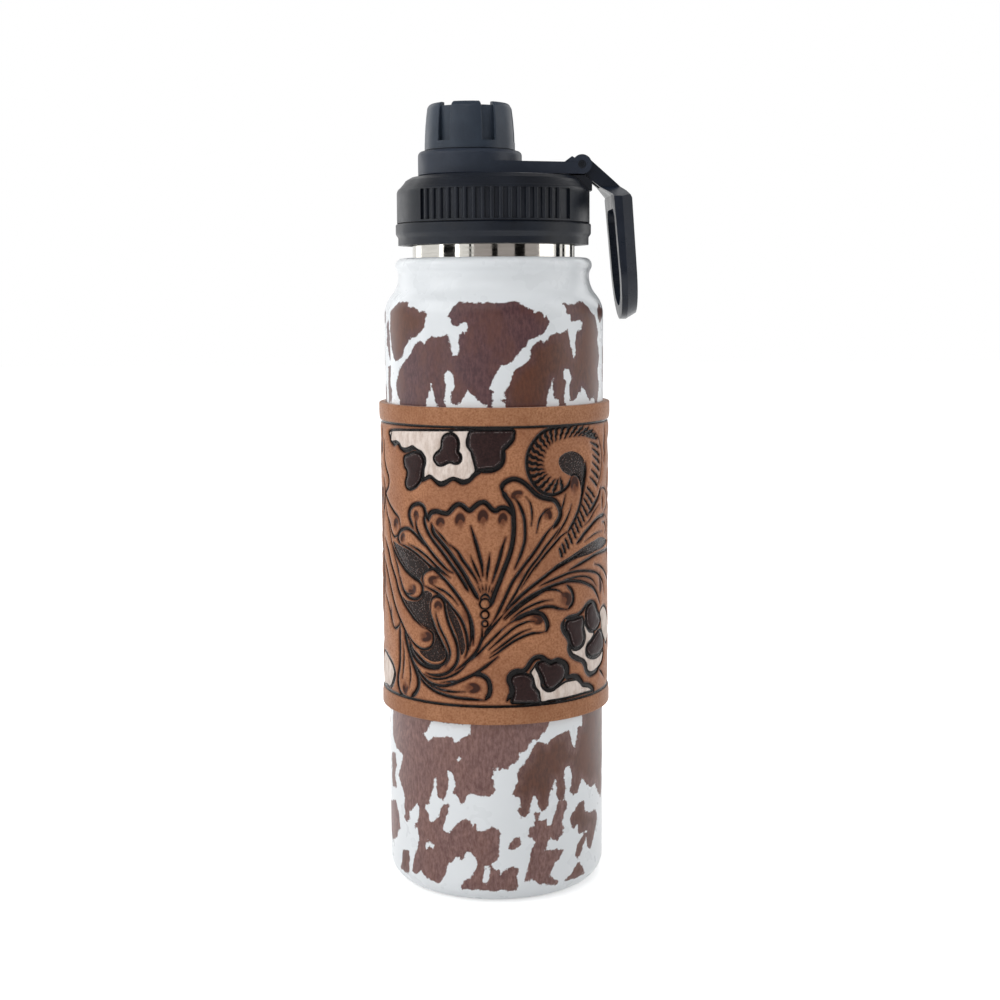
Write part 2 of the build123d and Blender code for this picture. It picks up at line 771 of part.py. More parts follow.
# Spout cap: outer shell with six grip slots that run out through the top
with BuildPart() as spout_cap:
    with BuildSketch(cap_section):
        with BuildLine():
            skirt = Polyline(
                (cup_radius, retainer_top),
                (cap_skirt_radius, retainer_top),
                (cap_skirt_radius, cap_foot),
                (cap_foot_radius, cap_foot),
            )
            flank = ThreePointArc(
                skirt @ 1,
                (cap_waist_radius, cap_waist_level),
                (cap_brow_radius, cap_brow_level),
            )
            brow = TangentArc(flank @ 1, (cap_top_radius, cap_top), tangent=flank % 1)
            Polyline(
                brow @ 1,
                (cap_crown_radius, cap_top),
                (cap_crown_radius, cap_crown_level),
                (0, cap_crown_level),
                (0, cap_roof),
                (cap_bore_radius, cap_roof),
                (cap_bore_radius, cap_foot + cup_step_height + seat_gap),
                (cup_radius, cap_foot + seat_gap),
                skirt @ 0,
            )
        make_face()
    revolve(axis=cap_axis)
    with BuildSketch(cap_level(grip_slot_foot)):
        with PolarLocations(
            (grip_slot_floor + cap_foot_radius + overrun) / 2,
            grip_slots,
            start_angle=grip_slot_start_angle,
        ):
            Rectangle(cap_foot_radius + overrun - grip_slot_floor, grip_slot_width)
    extrude(amount=cap_top - grip_slot_foot + overrun, mode=Mode.SUBTRACT)
    with BuildSketch(cap_level(cap_crown_level)):
        with PolarLocations(cap_crown_radius, grip_slots, start_angle=grip_slot_start_angle):
            Rectangle(cap_foot_radius, grip_slot_width)
    extrude(amount=cap_crown_drop + overrun, mode=Mode.SUBTRACT)
    slot_edges = spout_cap.edges().filter_by(GeomType.BSPLINE)
    slot_edges = slot_edges.filter_by(lambda edge: edge.center().Z > cap_foot + grip_slot_width)
    slot_edges = slot_edges.filter_by(
        lambda edge: (edge.center() - Vector(cap_axis_x, 0, edge.center().Z)).length > grip_slot_floor
    )
    fillet(slot_edges, grip_slot_rounding)

# Threaded cup inside the cap
cup_ridge = thread_ridge(
    cup_bore,
    -cup_thread_depth,
    cap_thread_base,
    cap_thread_crest,
    cap_lead,
    cap_thread_turns,
    retainer_foot + cap_thread_base,
)
with BuildPart() as cap_cup:
    with BuildSketch(cap_section):
        Polygon(
            (cup_radius, retainer_foot),
            (cup_radius, cap_foot + seat_gap),
            (cap_bore_radius, cap_foot + cup_step_height + seat_gap),
            (cap_bore_radius, cup_ceiling + 2 * cup_wall),
            (0, cup_ceiling + 2 * cup_wall),
            (0, cup_ceiling),
            (cup_upper_bore, cup_ceiling),
            (cup_upper_bore, cap_foot + cup_step_height),
            (cup_bore, cap_foot),
            (cup_bore, retainer_foot),
            align=None,
        )
    revolve(axis=cap_axis)
    with Locations((cap_axis_x, 0)):
        add(cup_ridge)

# Disc seal on the cup's ceiling, just over the spout's rim
with BuildPart() as cap_gasket:
    with BuildSketch(cap_level(spout_rim_level + cap_gasket_gap)):
        Circle(cup_upper_bore - seat_gap)
    extrude(amount=cup_ceiling - spout_rim_level - 2 * cap_gasket_gap)
    fillet(cap_gasket.edges(), seat_gap)

# Retaining ring that keeps the cap in the arm's ring
with BuildPart() as cap_retainer:
    with BuildSketch(cap_level(retainer_foot)):
        Circle(retainer_radius)
        Circle(cup_radius, mode=Mode.SUBTRACT)
    extrude(amount=retainer_height)
    chamfer(
        cap_retainer.edges().group_by(Axis.Z)[0].sort_by(SortBy.LENGTH)[-1],
        retainer_height / 4,
    )

# Carry loop: bent strap that opens into a rounded finger loop
loop_foot = pivot_height - loop_drop
loop_round_height = loop_foot + loop_half_width
window_half = loop_half_width - loop_limb_width
strap_rise = sin(radians(90 - loop_strap_angle))
strap_run = cos(radians(90 - loop_strap_angle))
strap_start_x = pivot_x + knuckle_radius * strap_run
strap_start_height = pivot_height + knuckle_radius * strap_rise
with BuildPart() as carry_loop:
    with BuildSketch(Plane.XZ):
        Polygon(
            (pivot_x, pivot_height),
            (strap_start_x, strap_start_height),
            (
                strap_start_x + loop_strap_length * strap_rise,
                strap_start_height - loop_strap_length * strap_run,
            ),
            (loop_shoulder_x, pivot_height - loop_shoulder_drop),
            (loop_limb_outer_x, pivot_height - loop_limb_outer_drop),
            (loop_tip_outer_x, loop_foot),
            (loop_tip_inner_x, loop_foot),
            (loop_bend_inner_x, pivot_height - loop_bend_inner_drop),
            (loop_strap_under_x, pivot_height - loop_strap_under_drop),
            align=None,
        )
    extrude(amount=loop_half_width, both=True)
    with BuildSketch(Plane.YZ.offset(pivot_x - overrun)):
        Polygon(
            (-loop_knuckle_half_width, strap_start_height),
            (loop_knuckle_half_width, strap_start_height),
            (loop_knuckle_half_width, pivot_height - loop_neck_drop),
            (loop_half_width, pivot_height - loop_spread_drop),
            (loop_half_width, loop_round_height),
            (-loop_half_width, loop_round_height),
            (-loop_half_width, pivot_height - loop_spread_drop),
            (-loop_knuckle_half_width, pivot_height - loop_neck_drop),
            align=None,
        )
        with Locations((0, loop_round_height)):
            Circle(loop_half_width)
    extrude(amount=loop_tip_outer_x - pivot_x + 2 * overrun, mode=Mode.INTERSECT)
    loop_outside = carry_loop.faces().filter_by(GeomType.PLANE).sort_by(Axis.X)[-1]
    loop_rim = loop_outside.outer_wire().edges().sort_by(Axis.Z)[:-1]
    chamfer(loop_rim, loop_bevel_depth, loop_bevel_width, reference=loop_outside)
    with BuildSketch(Plane.YZ.offset(pivot_x)) as window:
        with Locations((0, loop_round_height)):
            Circle(window_half)
        Polygon(
            (-window_half, loop_round_height),
            (window_half, loop_round_height),
            (window_half, pivot_height - loop_window_drop),
            (-window_half, pivot_height - loop_window_drop),
            align=None,
        )
        fillet(window.vertices().group_by(Axis.Z)[-1], loop_window_corner)
    extrude(amount=loop_tip_outer_x - pivot_x + overrun, mode=Mode.SUBTRACT)
    with BuildSketch(Plane.XZ):
        with Locations((pivot_x, pivot_height)):
            Circle(knuckle_radius)
    extrude(amount=loop_knuckle_half_width, both=True)
    with BuildSketch(Plane.XZ):
        with Locations((pivot_x, pivot_height)):
            Circle(slot_sweep_radius)
            with Locations(Rotation(0, 0, -loop_strap_angle)):
                with Locations((loop_fork_length / 2, 0)):
                    Rectangle(loop_fork_length, 4 * knuckle_radius)
    extrude(amount=loop_ear_inner, both=True, mode=Mode.SUBTRACT)
    with BuildSketch(Plane.XZ):
        with Locations((pivot_x, pivot_height)):
            Circle(eye_radius)
    extrude(amount=loop_half_width, both=True, mode=Mode.SUBTRACT)

os.makedirs("parts", exist_ok=True)
outer_shell.part.label = "outer_shell"
export_step(outer_shell.part, "parts/outer_shell.step")
base_pan.part.label = "base_pan"
export_step(base_pan.part, "parts/base_pan.step")
vacuum_seal.part.label = "vacuum_seal"
export_step(vacuum_seal.part, "parts/vacuum_seal.step")
getter.part.label = "getter"
export_step(getter.part, "parts/getter.step")
inner_liner.part.label = "inner_liner"
export_step(inner_liner.part, "parts/inner_liner.step")
neck_ring.part.label = "neck_ring"
export_step(neck_ring.part, "parts/neck_ring.step")
leather_sleeve.part.label = "leather_sleeve"
export_step(leather_sleeve.part, "parts/leather_sleeve.step")
seam_stitches.part.label = "seam_stitches"
export_step(seam_stitches.part, "parts/seam_stitches.step")
lid_body.part.label = "lid_body"
export_step(lid_body.part, "parts/lid_body.step")
lid_insulation.part.label = "lid_insulation"
export_step(lid_insulation.part, "parts/lid_insulation.step")
lid_floor.part.label = "lid_floor"
export_step(lid_floor.part, "parts/lid_floor.step")
lid_gasket.part.label = "lid_gasket"
export_step(lid_gasket.part, "parts/lid_gasket.step")
lid_collar.part.label = "lid_collar"
export_step(lid_collar.part, "parts/lid_collar.step")
hinge_pin.part.label = "hinge_pin"
export_step(hinge_pin.part, "parts/hinge_pin.step")
spout.part.label = "spout"
export_step(spout.part, "parts/spout.step")
cap_arm.part.label = "cap_arm"
export_step(cap_arm.part, "parts/cap_arm.step")
spout_cap.part.label = "spout_cap"
export_step(spout_cap.part, "parts/spout_cap.step")
cap_cup.part.label = "cap_cup"
export_step(cap_cup.part, "parts/cap_cup.step")
cap_gasket.part.label = "cap_gasket"
export_step(cap_gasket.part, "parts/cap_gasket.step")
cap_retainer.part.label = "cap_retainer"
export_step(cap_retainer.part, "parts/cap_retainer.step")
carry_loop.part.label = "carry_loop"
export_step(carry_loop.part, "parts/carry_loop.step")
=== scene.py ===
import math

import bpy
import numpy as np
from mathutils import Matrix, Vector


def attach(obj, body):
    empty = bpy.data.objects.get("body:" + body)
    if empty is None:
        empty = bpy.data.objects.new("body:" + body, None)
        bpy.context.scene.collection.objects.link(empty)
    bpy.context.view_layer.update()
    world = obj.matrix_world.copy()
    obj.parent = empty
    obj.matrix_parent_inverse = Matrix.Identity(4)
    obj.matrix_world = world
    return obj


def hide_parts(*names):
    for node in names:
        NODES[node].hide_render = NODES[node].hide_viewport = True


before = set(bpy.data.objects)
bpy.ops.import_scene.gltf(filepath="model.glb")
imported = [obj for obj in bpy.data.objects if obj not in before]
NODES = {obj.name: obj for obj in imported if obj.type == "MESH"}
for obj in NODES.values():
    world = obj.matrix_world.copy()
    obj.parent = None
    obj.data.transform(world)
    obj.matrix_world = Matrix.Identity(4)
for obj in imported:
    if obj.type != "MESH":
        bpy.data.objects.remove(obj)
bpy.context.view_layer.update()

MM = 0.001

# Sizes of the bottle in millimetres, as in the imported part
BODY_RADIUS = 36.5
PAN_RADIUS = 26.5
BASE_ROUNDING = 7.3
SHOULDER_FOOT = 192.1
SHOULDER_ROUNDING = 9.9
GROOVE_RADIUS = 31.8
BEAD_RADIUS = 32.75
BEAD_LEAD = 3.9
BEAD_ROUNDING = 2.45
NECK_RADIUS = 27.0
STEEL = 0.8
SLEEVE_BORE = 36.6
SLEEVE_RADIUS = 38.75
TOOLED_RADIUS = 38.42
SLEEVE_FOOT = 61.0
SLEEVE_TOP = 163.3
BORDER_LOW = 67.0
BORDER_HIGH = 157.1
SEAM_WIDTH = 0.6
EDGE_ROUNDING = 0.45

# How the decoration is laid out, in millimetres and degrees
PIXEL_MM = 1 / 2.97     # a pixel of the photograph at the bottle, for the widths of cuts
BOLD = 2.6              # pixels from which a cut is burnished and has painted shade beside it
BROAD = 3.0             # pixels from which a cut keeps its width almost to its ends
CURVE_STEP = 0.3        # between the points of a smoothed curve
CUT_REACH = 3.0         # how far from a curve the tooling's fields still tell its distance
PRINT_REACH = 5.0       # the same for the print's fields
REPEAT = 168.0          # the turn from the tooling at the front to its copies
SEAM_MARGIN = 172.0     # where the tooling ends beside the seam at the back
BORDER_LINE = 0.42      # half widths of the cut lines round the tooled field
SEAM_LINE = 0.35
BLOT_LINE = (0.12, 0.46)    # how far outside a blot's outline its cut line runs, and its half width
CREAM_LINE = (0.15, 0.42)   # the same for a pale patch

# The taper of a cut: shares of its half width, and the run in millimetres over which it fades
THINNEST = 0.3
THICKENING = 0.8
THICKEST = 1.1
BROAD_FADE = 1.8
FADE_SHARE = 0.45
LONGEST_FADE = 5.0

# Depths of the tooling, in millimetres
BEVEL_DEPTH = 0.27
CUT_DEPTH = 0.34
GROUND_DEPTH = 0.42
CREAM_DEPTH = 0.10
BLOT_RISE = 0.12
HOLLOW_DEPTH = 0.38
BEAD_RISE = 0.6
DEEPEST, HIGHEST = -0.95, 0.3

# Numbers of points in the two walls of revolution, and steps between the sleeve's levels
SHELL_COLUMNS = 330
SHELL_LEVELS = 250
SLEEVE_COLUMNS = 668
TOOLED_STEP = 0.355
PLAIN_STEP = 1.0


def table(text):
    """The rows of numbers in a table, where a semicolon stands between two rows."""
    return [[float(word) for word in row.split()] for row in text.split(";")]


# The decoration's curves, one to a row: the first point's azimuth from the front and its height,
# and then the step to each further point, in tenths of a degree and of a millimetre. A row of CUTS
# begins with the cut's width in pixels of the photograph, and a row of PATCHES with its colour: 0
# for plum, 1 for umber.
CUTS = table("""
3.2 -652 1515 35 -11 40 5 27 -15 33 -8 38 5 29 7 27 -5;
3.4 -400 1391 31 14 24 4 23 -9 22 -12 21 -2 22 7 21 10 20 3 21 -6 19 -6 25 4 20 10 19 13 24 6;
3.2 79 1556 -10 -25 -24 -19 -19 -12 0 -22 -5 -19 -19 -16 -28 -9 -33 -2 -29 -2;
2.6 -638 1546 -19 -21 5 -13;
3.0 399 1567 -75 0 -68 -5 -48 -14 -36 -25 -25 -28 -10 -32 5 -32 19 -32 31 -26 42 -18 49 -4 47 10
37 17 12 19;
3.0 488 1446 0 -32 -12 -39 -16 -38 -19 -35 -35 -40 -40 -33;
2.4 379 1397 7 9 20 4 21 -4 22 -16 7 -23;
3.0 643 1354 -27 -28 -45 -26 -49 -23;
1.8 348 1350 -13 -32 -17 -28;
2.0 386 1315 -13 -25 -25 -28 -31 -27 -34 -27;
4.2 16 1366 2 20 17 12 29 8 29 -2 29 -10 29 -17 30 -20 31 -12 38 -7 33 -6 23 -19 12 -23 -12 -22
-29 -24;
4.2 16 1373 19 -23 19 -19 14 -23 4 -32 0 -38 -7 -39 -15 -38 -22 -38 -26 -45 -25 -42 -17 -36;
2.6 68 1353 24 -20 19 -26 13 -29 4 -35 -2 -35 -15 -35 -20 -32 -15 -22;
1.8 131 1349 20 -17 10 -23 2 -29 -5 -25;
2.0 266 1309 -33 -9 -26 -18 -13 -25 -8 -26;
2.6 272 1250 -39 -27 -37 -34 -36 -31 -35 -28 -29 -25 -30 -28 -24 -32 -24 -35 -24 -33 -24 -29;
2.2 312 1242 -41 -31 -38 -27 -37 -31 -36 -27 -30 -28 -25 -29 -24 -28 -30 -32 -29 -29;
2.2 366 1229 -49 -17 -46 -27 -38 -24 -32 -24 -21 -22;
1.6 244 1171 -38 -28 -36 -27 -30 -28 -35 -35;
2.9 472 1152 -73 -14 -64 -15 -58 -16 -50 -20 -47 -20 -45 -21 -45 -25 -39 -25 -24 -19;
2.6 844 1134 -226 2 -104 -10 -80 -13 -61 -12;
2.8 632 967 -26 30 -44 28 -57 19 -63 14 -69 7 -62 -4 -57 -8 -53 -12 -51 -15 -50 -21 -39 -22 -39
-25;
1.7 594 1028 -52 29 -70 15 -73 2 -64 -3;
2.2 696 997 -19 39 -71 33 -83 16 -81 7 -69 -1 -62 -9 -57 -11 -53 -12;
2.0 844 1007 -104 49 -95 34 -73 14;
3.2 354 1053 32 -19 13 -24 -6 -19 -27 -18;
2.6 360 972 -49 6 -40 9 -44 2 -42 -6 -41 -9 -49 -15 -49 -18;
2.2 341 1018 -30 18 -46 8 -38 -2 -37 -12 -40 -14 -40 -17 -39 -20 -44 -25;
2.0 271 1010 -44 -1 -47 -7 -46 -12 -39 -15 -39 -21;
4.2 70 950 35 12 39 9 36 1 31 -6 21 -16 11 -20 -5 -20;
2.3 238 910 -32 -4 -42 0 -45 -8 -44 -13 -39 -16 -39 -19 -43 -19;
2.0 190 942 -41 4 -40 -7 -39 -13 -39 -21 -38 -22 -43 -26;
2.0 154 921 -40 -8 -39 -13 -39 -18 -38 -19 -39 -19;
2.4 27 977 -34 -26 -38 -29 -29 -26 -29 -30;
2.2 -30 948 -25 -23 -19 -16;
2.0 46 941 -38 -22 -39 -26 -38 -26 -39 -27 -45 -27;
4.2 -360 1266 7 20 17 10 29 3 27 -4 27 0 18 10 18 13 21 7 22 -4 20 -11 17 -3 19 11 24 12 24 3 19
-8 19 -14 19 -5 19 8 24 1 19 -8 14 -15;
3.8 -342 1258 13 -29 33 -23 39 -27 34 -28 31 -28 28 -28 24 -28 24 -28 16 -18;
2.6 -242 1195 40 -22 27 -28 33 -28 27 -28 13 -18;
2.3 -136 1160 16 -28 21 -32 13 -21;
2.9 -135 1257 18 -39 18 -43 16 -43 5 -35;
2.5 -43 1170 -5 -30 -8 -33 -3 -25;
2.7 34 1220 -16 -30 -16 -39 -16 -36 -19 -40;
1.2 -101 1064 14 -22;
1.2 -82 1068 7 -23;
1.2 -63 1068 0 -23;
1.2 -44 1065 -7 -23;
1.2 -29 1058 -10 -19;
2.2 -92 1013 5 14 19 10 19 -8 10 -16;
3.4 -457 1238 -21 22 -10 22 12 20 28 13 34 4 25 -9 12 -19 17 -25;
2.6 -442 1275 3 -26 16 -25 25 -21 31 -22 35 -24 39 -24 37 -21 31 -9;
3.0 -383 1288 -1 -26 18 -29 34 -30 45 -31 42 -34 41 -34 29 -28 25 -29;
1.8 -331 1248 44 -27 48 -34;
3.0 -561 1178 -23 18 15 21 36 13 40 3 36 -10 40 -18 38 -21;
2.6 -561 1178 51 -6 44 -10 41 -12 45 -18 47 -20 44 -21 38 -24 36 -28 30 -25 29 -32 20 -32 9 -39 -1
-39;
2.2 -495 1183 51 -10 46 -13 42 -17 40 -21 38 -17 37 -18;
2.8 -388 1053 -12 19 6 20 25 13 36 7 34 -5 32 -12;
2.6 -388 1053 36 -8 40 -11 44 -20 36 -25 36 -27 25 -32 14 -36 2 -36 -13 -29;
2.4 -311 1087 38 -8 37 -21 31 -25 30 -28 24 -32 12 -39 2 -39 -10 -40;
2.0 -352 1065 41 -14 43 -11 37 -18 30 -22;
2.8 -353 989 6 21 24 12 28 -1 21 -17 8 -29 13 -32 20 -32 21 -32 9 -32 -5 -30 -21 -24 -32 -18 -44
-11 -46 -2 -31 4;
2.8 -353 989 0 -26 17 -32 22 -31 27 -31 22 -28 -1 -23 -27 -19 -46 -6 -42 5 -44 17 -42 20 -25 21;
2.2 -324 972 11 -29 21 -32 27 -31 18 -32 -3 -26 -21 -25;
2.8 -656 1180 34 -30 50 -29 51 -26 53 -18 48 -13 19 -19 -7 -23 -33 -16 -47 0 -39 13 -25 24 -13 25;
1.8 -573 1081 -19 22 -30 30;
1.6 -531 1028 32 -10 37 6;
2.8 -752 1182 52 -39 40 -43 46 -40 29 -37 44 -36 48 -28 43 -23 46 -19;
2.4 -784 1118 63 -45 44 -46 37 -43 42 -39 46 -35 41 -33 37 -30;
2.4 -404 917 38 -7 26 -12 3 -23 -15 -20 -34 -11 -39 1 -41 13 -37 23;
3.6 -496 852 15 -22 28 -21 40 -16 44 -7 47 2 34 12;
2.2 -769 1004 58 -41 42 -43 36 -29;
2.2 -670 907 37 -16 43 11 20 22;
3.0 -575 904 -2 -47 -1 -48 -7 -44 -17 -40 9 -32 33 -20 51 -4;
3.8 -535 888 23 -41 23 -35 28 -33 24 -31 3 -27 -18 -25 -34 -20;
1.8 -545 853 3 -43 -6 -41 -10 -38;
1.8 -505 808 11 -33 3 -36 -13 -35;
2.6 -482 810 35 -30 46 -29 49 -17 58 -4 54 8 46 14 46 15 44 17 48 24 49 26;
2.6 -447 773 27 -27 44 -22 53 -16 55 -8 58 -5 56 -1 44 -2 34 -1;
4.2 -134 774 39 1 34 -13 14 -23 -2 -26 -20 -20;
1.9 -401 745 49 -18 57 -10 65 -3 61 3;
1.8 -300 740 65 8 62 5;
2.6 -83 928 -1 -29 -12 -29 -22 -25 -30 -22 -35 -21 -36 -18;
2.0 -153 813 -35 -25 -47 -21 -54 -13 -56 -3 -56 10;
2.0 -203 814 -26 -24 -32 -15;
4.6 35 689 22 23 0 23 -12 23 12 19 27 8 29 -1 23 10 18 18 25 13 32 0 26 -12 28 -8 34 4 33 -8 25
-15 3 -21 -3 -16 36 -2 34 -5 23 -14 23 -17 42 -8 38 -14 16 -15;
4.2 341 942 -12 -22 9 -20 22 -19 13 -19 -3 -21 16 -22 34 -15 41 -11 24 -18 13 -21 31 -16 45 1 47
7;
3.4 341 942 38 4 48 2 38 10 32 17 40 7 46 -13 24 -26 40 -25;
2.2 621 746 43 -18 35 -19;
2.4 -745 1510 -5 -53 27 -38 38 -28 -2 -30 -43 -26 40 -27 63 -26 51 -19 17 -28;
2.0 -559 1235 -19 -25 -42 -12 -34 16 -25 28 -46 29;
3.0 -778 794 63 -12 58 -20 23 -27 -20 -30 -35 -26;
2.8 635 1341 -27 -16 -37 -19 -33 -17 -31 -15;
1.8 634 1345 45 5 51 -12 40 -29 -14 -21 -60 -20;
2.6 666 1329 6 -26 -6 -19;
3.2 712 1258 -82 -2 -59 -11 -48 -16 -43 -16 -32 -17 -24 -11;
1.4 619 1299 -56 -23 -41 -22 -42 -13;
1.6 712 1258 39 -15 30 -28 -8 -22 -30 -14;
2.2 666 1237 47 -7 19 -21 -19 -13;
1.2 667 1206 -77 -1 -52 -7 -58 -12;
2.6 696 1559 8 -34 -7 -35 8 -24 -13 -30;
1.8 760 1403 -9 -23 18 -31 13 -20 5 -25;
1.0 540 1551 69 -29 37 -42 11 -37 -17 -45 -42 -40;
1.4 -741 1316 51 -79 42 -69 53 -68 44 -74;
2.8 850 880 -12 50 -8 50 -2 50 4 50 -6 50 -14 50 -6 50 8 50 20 40 24 24 26 -4 16 -28 0 -40 -12 -42
-8 -46 4 -48 6 -46 -4 -50 -12 -50 -10 -50 -8 -40;
1.6 852 940 4 60 4 60 -2 60 -8 60 -2 50 6 34;
3.2 806 1556 -6 -40 12 -32 26 -18 28 4 18 26 2 34 -6 26;
2.4 812 1180 -22 -20 -14 -32 4 -34;
2.4 890 1090 18 -26 6 -34 -8 -32;
2.6 900 1272 22 18 14 32 -4 34 -16 28;
2.6 834 1320 -22 26 -6 34 12 32 24 12 20 -14
""")
GROUNDS = table("""
-631 1182 70 -10 66 -9 57 -15 51 -20 24 -15 -30 -15 -17 -21 -10 -10 -48 11 -53 21 -46 26 -44 29;
-398 1032 28 7 30 -11 -13 -19 -6 -23 8 -32 23 -35 28 -31 24 -32 5 -29 -28 -16 -45 -4 -49 11 -32 19
51 3 36 19 10 30 -18 19 -45 10 -45 16 -42 23 -46 29 -29 20 45 -10 66 2 34 14;
-260 1001 26 -18 28 -27 20 -30 14 -35 5 -33 -18 -23 -10 25 -12 36 -25 38 -21 35;
636 1188 -65 -4 -77 -10 -65 -14 -56 -16 -76 -19 -24 -15 73 15 83 10 94 6 67 5 91 5 75 13 -42 13;
304 1452 8 19 34 12 46 3 49 -12 33 -20 15 -29 2 -28 -8 -28 -11 -18 -11 -20 -11 36 -14 24 -25 15
-25 0 -32 8 -30 13
""")
CREAMS = table("""
-621 1548 -30 -26 11 -11 44 4 33 -5 17 -12 29 -4 31 5 29 6 27 -9 32 -8 21 -16 3 -19 -10 -23 0 -26
21 8 18 2 20 -8 19 -8 20 -3 21 4 24 8 20 4 21 -3 20 -4 19 0 20 5 15 12 14 11 -4 20 -10 26 -9 19
-17 15 0 23 17 19 20 8;
190 808 -21 -18 -13 -13 13 -20 10 -27 21 -21 7 -30 52 1 70 0 77 2 75 1 72 -1 -29 16 -51 8 -31 16
-22 10 -34 1 -39 -1 -36 -10 -41 -13 -33 2 -27 17 -5 23 -13 24 -13 17;
465 928 32 -27 27 -19 44 -9 -25 -17 -37 -13 -13 -22 13 -21 57 -14 71 1 55 10 -9 -23 -32 -16 -52
-10 -53 -3 -32 10 -9 22 -21 16 -46 16 -39 14 -17 20 27 -11 36 0 35 11 16 22 -8 28;
646 935 60 13 99 -43 39 -64 -83 -23 -53 27 -38 29 -8 32;
-839 782 96 -1 59 -15 32 -23 -14 -30 -39 -29 -58 -2 -117 -4
""")
BLOBS = table("""
-518 1466 35 10 36 8 33 -2 22 -14 6 -19 -10 -23 -7 -26 -23 -19 -27 -12 -29 -5 -23 5 -7 16 12 20 1
17 -16 12 -7 16;
-250 1548 26 2 20 -10 10 -15 0 -19 -3 -13 13 -11 2 -13 -13 -11 -20 -2 -18 4 -21 -3 -21 -7 -24 -1
-17 9 -8 13 12 13 19 10 11 13 3 19 11 15;
-130 1559 48 3 90 0 61 -1 5 -14 -14 -19 -22 -14 -16 -11 -3 -19 -2 -19 -17 -14 -24 -9 -33 -2 -31 -3
-12 0 -9 14 -7 21 -10 20 -16 16 -3 20 3 18;
62 767 27 8 34 -1 25 -8 18 -14 -3 -18 21 -16 13 -19 0 -21 -49 1 -60 2 -29 4 10 23 0 23 -12 20;
200 809 27 2 32 -12 34 4 33 -10 18 -19 -6 -23 -18 -13 -27 -11 -23 -8 -25 2 -19 16 -8 20 -16 21 -13
17;
360 933 46 2 55 2 12 -17 -4 -26 8 -27 -16 -20 -34 -7 -28 6 -16 20 -13 23 -20 21;
519 972 38 3 32 -20 18 -22 32 -21 -13 -19 -42 -10 -46 2 -36 22 -9 28 4 23;
633 875 46 -22 19 -30 -27 -19 -75 -7 -58 2 -36 20 8 19 37 11 31 13
""")
# The outer and the inner edge of the rope round the spiral, point beside point
ROPE = table("""
348 1365 -104 -7 -68 23 -34 47 -5 48 25 43 51 35 70 15 84 3 89 -6 84 -15 58 -30 20 -39 10 -34 -2
-33 -15 -32 -21 -32 -25 -34 -35 -31 -42 -28 -35 -27 -34 -27 -40 -25 -35 -22 -30 -19;
321 1405 -29 -7 -47 16 -19 17 -5 24 10 28 22 25 30 14 50 7 60 5 59 0 52 -5 32 -25 14 -28 0 -31 -14
-31 -18 -30 -22 -30 -22 -28 -30 -27 -29 -28 -30 -27 -31 -32 -28 -25 -26 -21
""")
